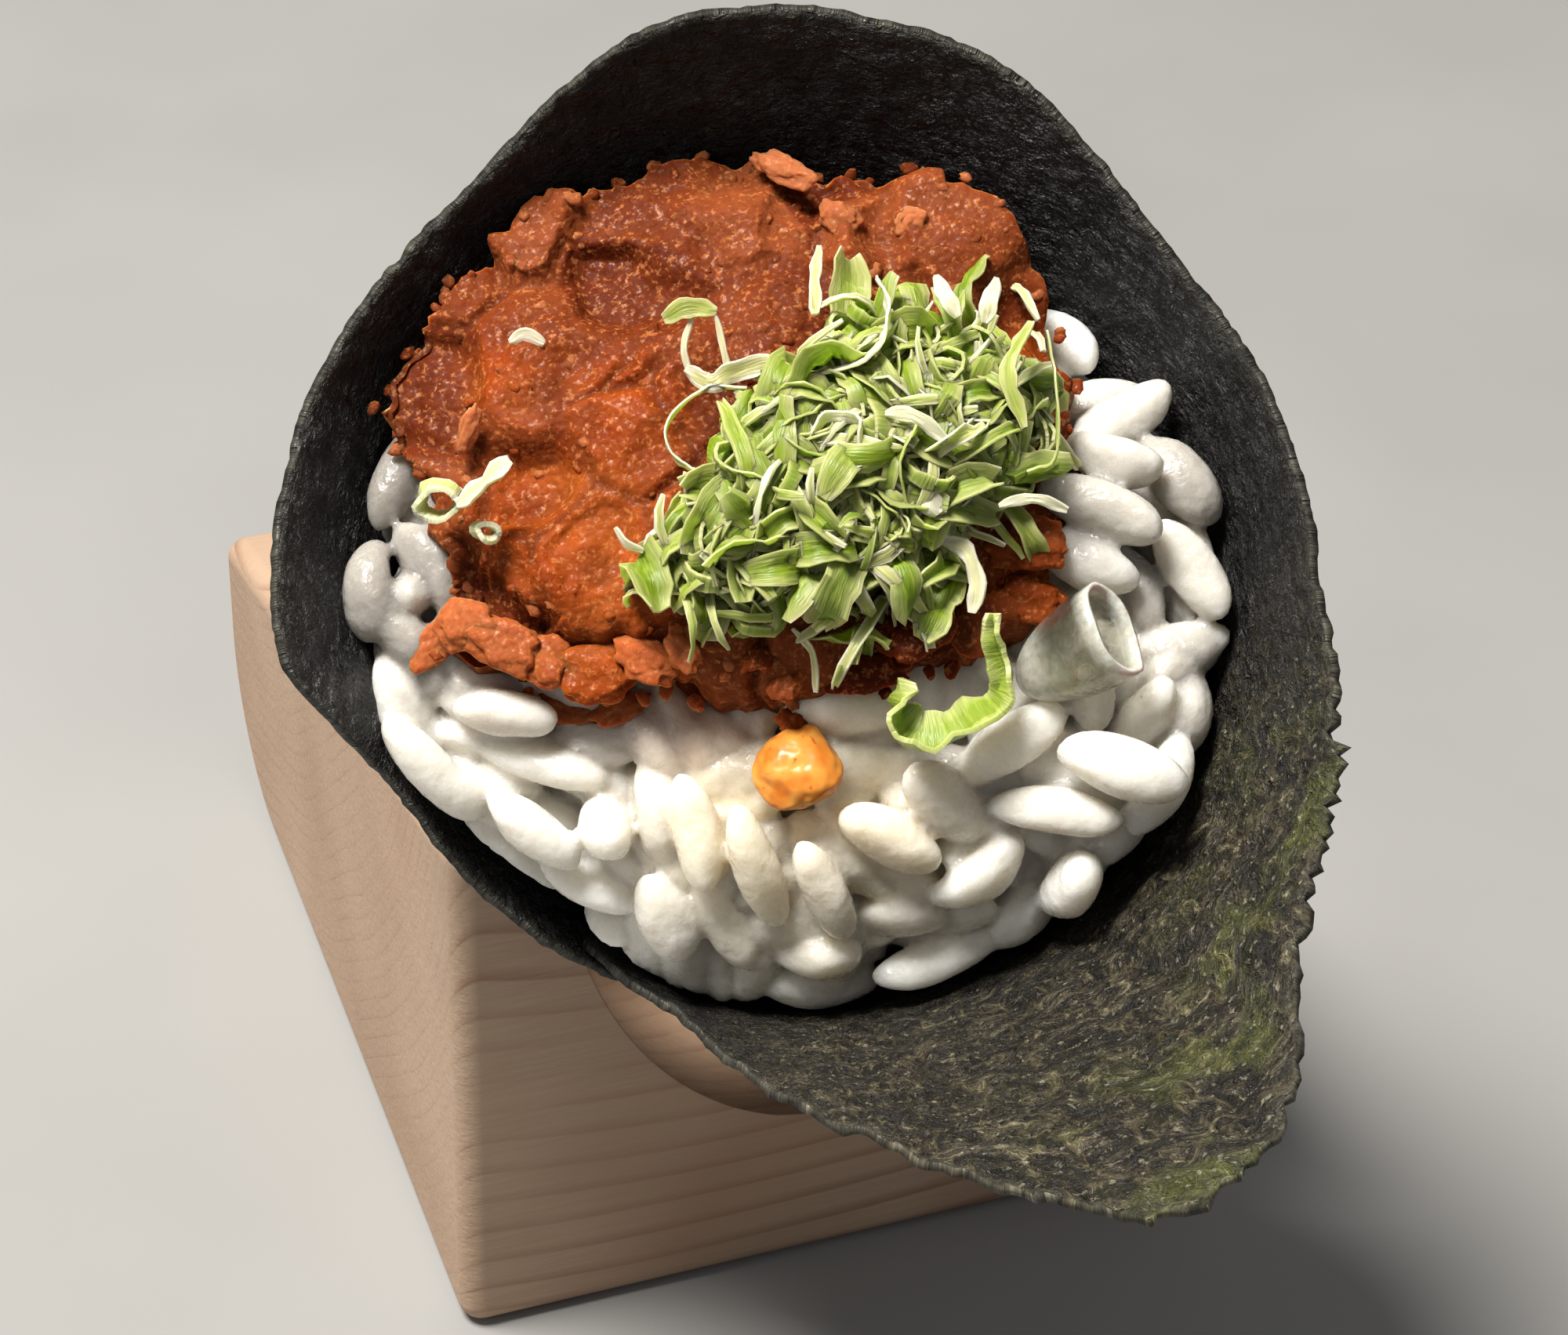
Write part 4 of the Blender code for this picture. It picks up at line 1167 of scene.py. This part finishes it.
# Loose bits of tuna: x, y, lift, length, width, turn, tilt, and their bright, cleft and pale looks. The
# cleft look darkens a bit: dark flesh, and painted shadow for the bits right of the scallion heap.
TUNA_BITS = (
    (-3.0, 24.8, 1.8, 4.4, 1.7, -30, 14, 0.0, 0.0, 0.6),
    (0.6, 22.0, 0.6, 2.6, 2.0, -20, 5, 0.0, 0.1, 0.5),
    (4.8, 22.0, 0.7, 2.0, 1.6, 50, 25, 0.0, 0.0, 0.7),
    (-19.0, 6.6, 1.0, 2.8, 1.1, 72, 30, 0.0, 0.0, 0.7),
    (13.4, 3.6, 1.1, 4.4, 3.2, 5, 0, 0.8, 0.1, 0.1),
    (13.6, 1.0, 0.5, 4.2, 2.8, -15, 0, 0.7, 0.2, 0.0),
    (0.3, -5.9, 1.2, 2.4, 1.7, -65, 10, 0.5, 0.3, 0.1),
    (0.8, -7.3, 1.3, 1.8, 1.5, -40, 0, 0.7, 0.2, 0.0),
    (-0.9, -4.9, 0.9, 2.0, 1.3, 30, 0, 0.2, 0.5, 0.0),
    (-20.2, -4.4, -0.1, 3.4, 2.0, 60, 8, 1.0, 0.0, 0.5),
    (-18.2, -3.9, -0.4, 4.0, 3.0, -10, 5, 0.9, 0.0, 0.4),
    (-15.6, -5.0, -0.4, 4.2, 3.0, -22, 0, 0.8, 0.1, 0.3),
    (-13.2, -5.6, -0.2, 3.6, 2.8, -40, 4, 0.8, 0.2, 0.2),
    (-10.6, -5.9, 0.2, 5.0, 3.4, 10, 0, 0.9, 0.1, 0.0),
    (-7.6, -5.4, 0.5, 3.8, 2.4, -25, 6, 1.0, 0.0, 0.3),
    (-5.4, -4.8, 0.6, 3.0, 1.8, -60, 0, 1.0, 0.0, 0.5),
    (-12.6, -7.0, -0.2, 4.4, 2.0, -10, 0, 0.6, 0.1, 0.4),
    (-9.0, -6.8, -0.1, 3.6, 1.8, 20, 0, 0.8, 0.0, 0.4),
    (7.6, -2.4, 0.8, 4.2, 3.0, 30, 0, 0.0, 0.7, 0.0),
    (4.6, -4.8, 0.5, 4.6, 2.0, 10, 0, 0.0, 0.8, 0.0),
    (10.6, -1.8, 0.6, 3.0, 2.2, -30, 0, 0.1, 0.5, 0.1),
)
# Crumbs strewn over the tuna, a part of them round its edge.
CRUMBS = 300
CRUMBS_AT_EDGE = 0.25
CRUMB_SIZE = (0.4, 0.9)


def add_bit(whole, place, size, turn, tilt, looks, seed):
    """A torn bit: an uneven lump, thin at its ends."""
    bm = bmesh.new()
    layers = float_layers(bm, TUNA_LOOKS)
    bmesh.ops.create_icosphere(bm, subdivisions=4 if size[0] > 1.7 else 2, radius=1)
    for v in bm.verts:
        lump = 1 + 0.42 * bumps(v.co.x, v.co.y, v.co.z, 0.75, seed)
        lump += 0.2 * bumps(v.co.x, v.co.y, v.co.z, 0.32, seed)
        v.co = Vector((v.co.x * size[0] / 2, v.co.y * size[1] / 2, v.co.z * size[2] / 2)) * lump
        for layer, value in zip(layers.values(), looks):
            v[layer] = value
    turned = turning([math.radians(angle) for angle in (tilt * 0.4, -tilt, turn)])
    bm.transform(Matrix.Translation(place) @ turned)
    gather(whole, bm)


def make_tuna_bits(finish):
    rng = random.Random(31)
    bm = bmesh.new()
    float_layers(bm, TUNA_LOOKS)
    for x, y, lift, length, width, turn, tilt, *looks in TUNA_BITS:
        on_tuna = TUNA.inside(x, y) or y > 20
        height = float(TUNA.top(x, y) if on_tuna else RICE.top(x, y) + 0.8)
        add_bit(bm, Vector((x, y, height + lift)), (length, width, width * 0.55), turn, tilt,
                (0.5, *looks), rng.uniform(0, 99))
    outline = TUNA.outline(TUNA_MIDDLE)
    for _ in range(CRUMBS):
        angle = rng.uniform(-180, 180)
        at_edge = rng.random() < CRUMBS_AT_EDGE
        share = rng.gauss(0.97, 0.03) if at_edge else math.sqrt(rng.random()) * 0.95
        reach = outline(angle) * min(share, 1.01)
        x = TUNA_MIDDLE[0] + reach * math.cos(math.radians(angle))
        y = TUNA_MIDDLE[1] + reach * math.sin(math.radians(angle))
        top = float(TUNA.top(x, y))
        lift, (tone, bright, shade_and_dark_flesh) = tuna_surface(x, y, top)
        size = rng.uniform(*CRUMB_SIZE)
        add_bit(bm, Vector((x, y, top + lift - 0.15)), (size * 1.4, size, size * 0.6),
                rng.uniform(0, 360), rng.gauss(0, 15),
                (tone, bright, shade_and_dark_flesh * 0.6, rng.choice((0, 0, 0, 0.15, 0.4))), rng.uniform(0, 99))
    limit_to_mouth(bm)
    bmesh.ops.recalc_face_normals(bm, faces=bm.faces)
    piece("tuna_bits", bm, finish)


# ---- Scallion ---------------------------------------------------------------

LEAF_LOOKS = ("pale", "tone", "rib", "fibre")


def add_strip(whole, line, across, width, wall, pale=0.0, tone=0.5, steps=8, cup=0.0,
              closed=False, cross_cut=False, taper=(1, 1), matrix=Matrix()):
    """A thin slice that follows a line: its ribs run along it, or across it when it
    was cut across the leaf."""
    bm = bmesh.new()
    layers = float_layers(bm, LEAF_LOOKS)
    bmesh.ops.create_grid(bm, x_segments=steps, y_segments=3, size=0.5)
    length = sum((line((i + 1) / 12) - line(i / 12)).length for i in range(12))
    for v in bm.verts:
        share, side = v.co.x + 0.5, v.co.y * 2
        torn = 1 + min(0.5, 0.6 / width) * bumps(share * length, side, tone * 50 + length, 0.9, 6.0)
        torn *= 1 if closed else 1 - 0.55 * abs(2 * share - 1) ** 4
        torn *= taper[0] + (taper[1] - taper[0]) * smoothstep(0.2, 0.6, share)
        centre = line(share)
        ahead = (line(min(share + 0.04, 1)) - line(max(share - 0.04, 0))).normalized()
        flat = across(share)
        flat = (flat - ahead * flat.dot(ahead)).normalized()
        bowed = ahead.cross(flat) * cup * (side * side - 0.4) * width
        crumpled = 0.3 * width * bumps(share * length, side * 2, tone * 70, 1.1, 16.0)
        v.co = matrix @ (centre + flat * side * torn * width / 2 + bowed + ahead.cross(flat) * crumpled)
        far = (share * length + tone * 50, side * width / 2)
        v[layers["fibre"]], v[layers["rib"]] = (far[1], far[0]) if cross_cut else far
        at_end = smoothstep(0.75, 1, abs(2 * share - 1)) if not closed else 0
        # Paler at the cut ends and along the edges: the edges are partly cut flesh, partly painted
        # highlights.
        v[layers["pale"]] = min(pale + 0.45 * smoothstep(0.55, 1, abs(side)) + 0.3 * at_end, 1)
        v[layers["tone"]] = tone
    if closed:
        bmesh.ops.remove_doubles(bm, verts=bm.verts, dist=0.02)
    bmesh.ops.recalc_face_normals(bm, faces=bm.faces)
    bmesh.ops.solidify(bm, geom=bm.faces[:], thickness=wall)
    gather(whole, bm)


def add_curl(bm, radius, sweep, rng, matrix, **looks):
    """A slice that has curled up, with a slight twist."""
    twist, drift, start = rng.gauss(0, 0.6), rng.uniform(-0.8, 0.8), rng.uniform(0, TAU)
    phase = rng.uniform(0, TAU)

    def line(share):
        angle = math.radians(sweep) * (share - 0.5)
        wave = 1 + 0.14 * math.sin(3 * angle + phase)
        around, up = math.sin(angle) * wave, math.cos(angle) * wave - 0.6
        return Vector((radius * around, drift * share, radius * up))

    def across(share):
        return Vector((0.35 * math.sin(start + 2 * share), math.cos(twist * share), math.sin(twist * share)))

    add_strip(bm, line, across, matrix=matrix, **looks)


def add_ring(bm, place, turn, radii, width, wall, **looks):
    """A whole slice of a leaf tube."""
    def line(share):
        angle = TAU * share
        return Vector((radii[0] * math.cos(angle), radii[1] * math.sin(angle), 0))
    matrix = Matrix.Translation(place) @ turning([math.radians(a) for a in turn])
    add_strip(bm, line, lambda share: UP, width, wall, steps=16, closed=True, cross_cut=True,
              matrix=matrix, **looks)


HEAP_SLICES = 620
# Where the slices lie in the heap: x, y, spread.
HEAP_PLACES = (
    (7.3, 10.6, 2.3), (10.3, 10.4, 1.9), (4.0, 12.0, 1.6), (9.2, 7.0, 1.8), (4.0, 6.2, 2.0), (1.0, 3.4, 2.2),
    (-0.6, 0.4, 2.3), (2.8, 0.6, 1.9), (-3.2, -0.4, 1.5), (6.4, 3.6, 1.5), (0.6, 7.6, 1.3),
)


def make_scallions(finish):
    rng = random.Random(23)
    bm = bmesh.new()
    float_layers(bm, LEAF_LOOKS)
    for _ in range(HEAP_SLICES):
        x, y, spread = rng.choice(HEAP_PLACES)
        x, y = rng.gauss(x, spread), rng.gauss(y, spread)
        ground, top = float(TUNA.top(x, y)), float(max(SCALLIONS.top(x, y), TUNA.top(x, y) + 1))
        height = ground + (top - ground) * (0.25 + 0.5 * math.sqrt(rng.random()))
        turned = turning((rng.gauss(0, 0.5), rng.gauss(0, 0.5), rng.uniform(0, TAU)))
        matrix = Matrix.Translation((x, y, height)) @ turned
        kind = rng.random()
        if kind < 0.36:
            add_curl(bm, rng.uniform(1.8, 3.4), rng.uniform(90, 200), rng, matrix, steps=12,
                     width=rng.uniform(1.2, 2.4), wall=0.12, tone=rng.uniform(0.0, 0.7),
                     cup=rng.uniform(-0.45, 0.45), pale=rng.choice((0, 0, 0.1)))
        elif kind < 0.8:
            add_curl(bm, rng.uniform(1.6, 3.4), rng.uniform(90, 240), rng, matrix, steps=10,
                     width=rng.uniform(0.4, 1.0), wall=0.12, tone=rng.uniform(0.1, 1.0),
                     cup=rng.uniform(-0.3, 0.3), pale=rng.choice((0, 0.1, 0.2, 0.5)))
        elif kind < 0.9:
            add_curl(bm, rng.uniform(2.0, 4.0), rng.uniform(50, 130), rng, matrix,
                     width=rng.uniform(0.3, 0.6), wall=0.22, tone=1.0, pale=rng.uniform(0.3, 0.9), steps=6)
        else:
            radius = rng.uniform(1.3, 2.2)
            tilt = (rng.gauss(0, 25), rng.gauss(0, 25), rng.uniform(0, 360))
            add_ring(bm, (x, y, height + 0.4), tilt, (radius, radius * rng.uniform(0.5, 1)),
                     rng.uniform(0.6, 1.1), 0.2, tone=rng.uniform(0.2, 0.9), pale=rng.uniform(0, 0.3))
    piece("scallion_slices", bm, finish, ("scallions",), smooth_angle=50)
    make_scallion_core(finish)


def make_scallion_core(finish):
    """Pressed slices deep in the heap."""
    bm = bmesh.new()
    bmesh.ops.create_icosphere(bm, subdivisions=5, radius=1)
    layers = float_layers(bm, LEAF_LOOKS)
    middle = centre_of("scallions")
    outline = SCALLIONS.outline(middle)
    for v in bm.verts:
        degrees, ray, share = spread_out(v.co)
        reach = outline(degrees) * 0.8 * (share if share < 1 else 2 - share)
        x, y = middle.x + ray.x * reach, middle.y + ray.y * reach
        ground, top = float(TUNA.top(x, y)), float(SCALLIONS.top(x, y))
        height = ground + (top - ground) * (0.7 if share < 1 else 0.1)
        relief = 0.8 * bumps(x, y, height, 1.4, 12.0) if share < 1 else 0
        v.co = Vector((x, y, height + relief))
        v[layers["tone"]] = 0.5
        v[layers["rib"]], v[layers["fibre"]] = x * 0.7 + y * 0.7, x - y
    bmesh.ops.recalc_face_normals(bm, faces=bm.faces)
    piece("scallion_core", bm, finish)


# Slices that lie singly: the points they pass, width, wall, pale, tone, and the way their
# flat side lies.
SINGLE_SLICES = (
    (((3.5, 15.8, 72.6), (4.3, 13.9, 73.6), (4.2, 11.6, 73.6), (2.6, 10.2, 73.0), (-0.2, 10.1, 72.0),
      (0.8, 11.8, 72.4), (2.4, 11.0, 72.8)), 0.8, 0.3, 0.95, 1.0, (0.2, -0.5, 0.8)),
    (((6.8, 16.3, 72.6), (7.5, 14.9, 73.2), (8.3, 13.7, 73.0)), 0.9, 0.35, 0.9, 1.0, (0.9, 0.3, 0.2)),
    (((10.2, 16.3, 73.0), (10.0, 14.9, 73.4), (9.8, 13.5, 73.0)), 0.9, 0.35, 0.85, 1.0, (1, 0, 0.2)),
    (((4.9, 7.4, 73.2), (6.5, 7.2, 73.8), (8.4, 6.1, 73.2)), 0.8, 0.3, 0.9, 1.0, (0.1, 0.8, 0.5)),
    (((6.2, 4.3, 71.6), (7.4, 3.4, 71.6), (8.3, 2.5, 71.2)), 1.2, 0.4, 0.95, 1.0, (0.5, 0.7, 0.2)),
    (((1.0, 5.6, 72.8), (1.8, 6.8, 73.4), (3.4, 6.6, 73.4), (3.6, 5.2, 73.0)),
     0.9, 0.3, 0.9, 1.0, (0, 0.5, 0.9)),
    (((-8.2, 12.4, 72.2), (-6.8, 13.1, 72.6), (-5.2, 13.1, 72.4)), 1.1, 0.25, 0.15, 0.4, (0.1, 0.9, 0.2)),
    (((-6.6, 12.8, 72.2), (-6.9, 11.1, 71.6), (-6.5, 9.7, 71.0)), 0.4, 0.3, 0.8, 1.0, (1, 0, 0.3)),
    (((-5.3, 12.9, 72.2), (-4.7, 11.3, 71.6), (-4.2, 9.6, 71.0)), 0.4, 0.3, 0.75, 1.0, (1, 0, 0.3)),
    (((-6.7, 9.9, 71.2), (-5.3, 9.2, 71.2), (-4.0, 9.8, 71.4), (-2.1, 10.5, 71.6), (-0.6, 10.0, 71.6)),
     1.1, 0.3, 0.7, 1.0, (0, 0.8, 0.5)),
    (((-3.1, 9.1, 71.2), (-5.3, 9.0, 71.0), (-7.0, 7.6, 70.6), (-7.4, 5.9, 70.4), (-6.4, 4.6, 70.2),
      (-4.7, 3.9, 70.2)), 0.6, 0.22, 0.6, 0.9, (0, 0, 1)),
    (((-3.8, 8.9, 71.0), (-2.3, 7.8, 71.0), (-2.3, 5.9, 70.8)), 0.7, 0.25, 0.8, 1.0, (0.4, 0.3, 0.8)),
    (((-9.6, 0.4, 70.2), (-8.9, -0.4, 69.9), (-7.9, -0.6, 69.6)), 0.5, 0.3, 0.95, 1.0, (0.2, 0.5, 0.8)),
    (((0.0, 18.1, 71.4), (0.0, 15.9, 71.6), (0.3, 13.8, 71.6)), 0.7, 0.35, 0.55, 0.9, (1, 0, 0.2)),
    (((13.4, 13.7, 72.2), (14.3, 9.9, 72.0), (14.5, 6.4, 71.2), (13.0, 5.6, 70.8)),
     0.6, 0.25, 0.1, 0.5, (0, 0.1, 1)),
    (((12.4, 14.0, 72.6), (11.4, 11.0, 72.8), (12.6, 7.8, 72.0)), 1.0, 0.25, 0.2, 0.9, (0.8, 0.2, 0.5)),
    (((8.6, 1.7, 69.2), (10.0, 1.4, 69.0), (10.7, -0.4, 68.6), (10.6, -1.9, 68.0)),
     1.0, 0.3, 0.8, 1.0, (0.6, 0.6, 0.4)),
    (((0.7, -3.6, 67.4), (1.9, -4.7, 66.8), (2.3, -6.6, 65.6)), 0.5, 0.25, 0.6, 0.9, (0.2, 0.5, 0.8)),
    (((-18.7, 1.4, 68.8), (-17.5, 2.5, 69.4), (-16.0, 4.0, 70.0)), 1.3, 0.45, 0.75, 1.0, (0.5, -0.6, 0.5)),
    (((-16.9, 10.9, 70.6), (-16.0, 11.3, 70.9), (-14.9, 11.0, 70.6)), 0.7, 0.3, 0.95, 1.0, (0.1, 0.8, 0.5)),
    (((11.6, 3.4, 71.0), (13.4, 3.8, 71.6), (15.4, 3.5, 71.0)), 0.6, 0.3, 1.0, 1.0, (0, 0.8, 0.5)),
)
SINGLE_LIFT = 0.9              # of all single slices over the places listed
SINGLE_THINNING = 0.5          # of their walls
# Rings that lie singly: place, turn, half axes, width, wall, pale, tone.
SINGLE_RINGS = (
    ((-6.2, 0.5, 70.0), (14, -8, 30), (1.9, 1.1), 0.8, 0.3, 0.9, 1.0),
    ((-20.0, 2.0, 68.8), (42, -20, 20), (1.3, 1.1), 1.5, 0.3, 0.7, 1.0),
    ((-17.2, 0.6, 68.2), (20, 30, 0), (0.8, 0.6), 0.9, 0.3, 0.8, 1.0),
)


def make_single_slices(finish):
    bm = bmesh.new()
    float_layers(bm, LEAF_LOOKS)
    for points, width, wall, pale, tone, flat in SINGLE_SLICES:
        side = Vector(flat)
        raised = [Vector(p) + UP * SINGLE_LIFT for p in points]
        add_strip(bm, path(raised), lambda share: side, width, wall * SINGLE_THINNING, pale, tone,
                  steps=5 * (len(points) - 1))
    for place, turn, radii, width, wall, pale, tone in SINGLE_RINGS:
        add_ring(bm, place, turn, radii, width, wall, pale=pale, tone=tone)
    piece("scallion_strands", bm, finish, smooth_angle=50)


def make_curl(finish):
    """The loose slice in front of the heap: a ribbed band on its cut edge, whose
    other end stands up."""
    bm = bmesh.new()
    float_layers(bm, LEAF_LOOKS)
    centre = centre_of("scallion_curl")
    low = centre.z - 0.3
    points = ((11.9, -1.6, low + 2.6), (12.1, -3.6, low + 1.8), (12.9, -5.3, low + 0.8),
              (11.4, -7.1, low + 0.2), (8.6, -8.4, low), (6.7, -7.2, low + 0.4), (6.9, -5.4, low + 1.0))

    def across(share):
        stem = 1 - smoothstep(0.15, 0.45, share)
        return Vector((0.9 * stem + 0.1, -0.85 * (1 - stem) + 0.1, 0.45))

    add_strip(bm, path(points), across, width=3.2, wall=0.3, pale=0.05, tone=0.75, steps=36, cup=0.15,
              cross_cut=True, taper=(0.5, 1))
    piece("scallion_curl_slice", bm, finish, ("scallion_curl",), smooth_angle=50)


CUP_LEAN = 34
CUP_RADII = (2.9, 2.3)
CUP_DEPTH = 6.8
CUP_WALL = 0.28


def make_onion_ring(finish):
    """A clear cup of inner stem that leans to the right, with its mouth open."""
    bm = bmesh.new()
    bmesh.ops.create_uvsphere(bm, u_segments=44, v_segments=36, radius=1)
    bmesh.ops.delete(bm, geom=[v for v in bm.verts if v.co.z > 0.01], context="VERTS")
    layers = float_layers(bm, LEAF_LOOKS)
    mouth = Vector((18.6, -1.4, centre_of("onion_ring").z + 1.6))
    lean = math.radians(CUP_LEAN)
    axis = Vector((0.89, 0.45, 0)) * math.cos(lean) + UP * math.sin(lean)
    side = axis.cross(UP).normalized()
    over = side.cross(axis)
    for v in bm.verts:
        x, y, z = v.co
        v[layers["pale"]] = smoothstep(-0.14, -0.02, z) + 0.5 * smoothstep(-0.45, -0.8, z)
        wave = 1 + 0.1 * bumps(x, y, z, 0.9, 5) + 0.12 * z * z
        v.co = mouth + side * x * CUP_RADII[0] * wave + over * y * CUP_RADII[1] * wave + axis * z * CUP_DEPTH
        v.co += axis * 0.5 * bumps(x, y, 0, 1.2, 8)
    bmesh.ops.recalc_face_normals(bm, faces=bm.faces)
    bmesh.ops.solidify(bm, geom=bm.faces[:], thickness=CUP_WALL)
    piece("onion_ring_clear", bm, finish, ("onion_ring",))


def make_sauce_drop():
    bm = bmesh.new()
    bmesh.ops.create_icosphere(bm, subdivisions=5, radius=1)
    centre = centre_of("sauce_drop")
    for v in bm.verts:
        x, y, z = v.co
        spread = 1 + 0.16 * bumps(x, y, z, 0.9, 4) + 0.05 * bumps(x, y, z, 0.3, 8)
        narrow = 1 - 0.35 * smoothstep(0.2, 1, y)
        v.co = centre + Vector((x * 2.5 * narrow, y * 2.5, z * 1.3 + 0.4)) * spread
    piece("sauce_drop_orange", bm, sauce_material(), ("sauce_drop",))


# ---- Stage ------------------------------------------------------------------

FLOOR_HALF = 1.5
# Lamps, in metres: place, target, size, power, tint.
LAMPS = {
    "overhead": ((-0.21, -0.01, 0.64), (0, -0.03, 0.05), 0.24, 10.2, (1.0, 0.97, 0.93)),
    "window": ((-0.55, -0.06, 0.20), (0, -0.03, 0.03), 0.25, 0.3, (1.0, 0.96, 0.91)),
}
ROOM_TINT = (0.96, 0.97, 1.0, 1)
ROOM_STRENGTH = 0.28
CAMERA_PLACE = (-72.5, -212.2, 193.9)
CAMERA_ELEVATION = 36.8
CAMERA_AZIMUTH = 20.6
CAMERA_ROLL = 2.0
CAMERA_LENS = 90


def make_lamp(name, place, target, size, power, tint):
    light = bpy.data.lights.new(name, "AREA")
    light.shape = "DISK"
    light.size = size
    light.energy = power
    light.color = tint
    made = add_object(name, light)
    made.location = place
    made.rotation_euler = (Vector(target) - Vector(place)).to_track_quat("-Z", "Y").to_euler()


def make_floor():
    bm = bmesh.new()
    bmesh.ops.create_grid(bm, x_segments=8, y_segments=8, size=FLOOR_HALF)
    floor = add_object("floor", mesh_from("floor", bm))
    made, tree, shader = new_material("pale_floor")
    cloud = pattern(tree, place_in_mm(tree), 60, 3)
    plug(tree, shader, {
        "Base Color": ramp(tree, cloud, ((0.3, "#868582"), (0.7, "#8e8d8a"))),
        "Roughness": 0.8,
    })
    floor.data.materials.append(made)


def make_stage():
    make_floor()
    world = bpy.data.worlds.new("soft_room")
    bpy.context.scene.world = world
    world.use_nodes = True
    room = world.node_tree
    plug(room, room.nodes["Background"], {"Color": ROOM_TINT, "Strength": ROOM_STRENGTH})
    for name, lamp in LAMPS.items():
        make_lamp(name, *lamp)
    bpy.context.scene.view_settings.view_transform = "Standard"


def make_camera():
    """Stands at the front left and looks down along the open mouth."""
    elevation, azimuth, roll = map(math.radians, (CAMERA_ELEVATION, CAMERA_AZIMUTH, CAMERA_ROLL))
    depth = Vector((math.sin(azimuth), math.cos(azimuth), 0))
    right = Vector((math.cos(azimuth), -math.sin(azimuth), 0))
    forward = depth * math.cos(elevation) - UP * math.sin(elevation)
    up = depth * math.sin(elevation) + UP * math.cos(elevation)
    side = right * math.cos(roll) + up * math.sin(roll)
    top = -right * math.sin(roll) + up * math.cos(roll)
    data = bpy.data.cameras.new("camera")
    data.lens = CAMERA_LENS
    data.sensor_width = 36
    data.sensor_fit = "HORIZONTAL"
    data.clip_start = 0.01
    camera = add_object("camera", data)
    turned = Matrix((side, top, -forward)).transposed().to_4x4()
    camera.matrix_world = Matrix.Translation(Vector(CAMERA_PLACE) * MM) @ turned
    bpy.context.scene.camera = camera


make_camera()
make_stage()
make_holder()
make_sheet()
make_rice()
tuna = tuna_material()
make_tuna(tuna)
make_tuna_bits(tuna)
scallion = scallion_material()
make_scallions(scallion)
make_single_slices(scallion)
make_curl(scallion)
make_onion_ring(stem_material())
make_sauce_drop()
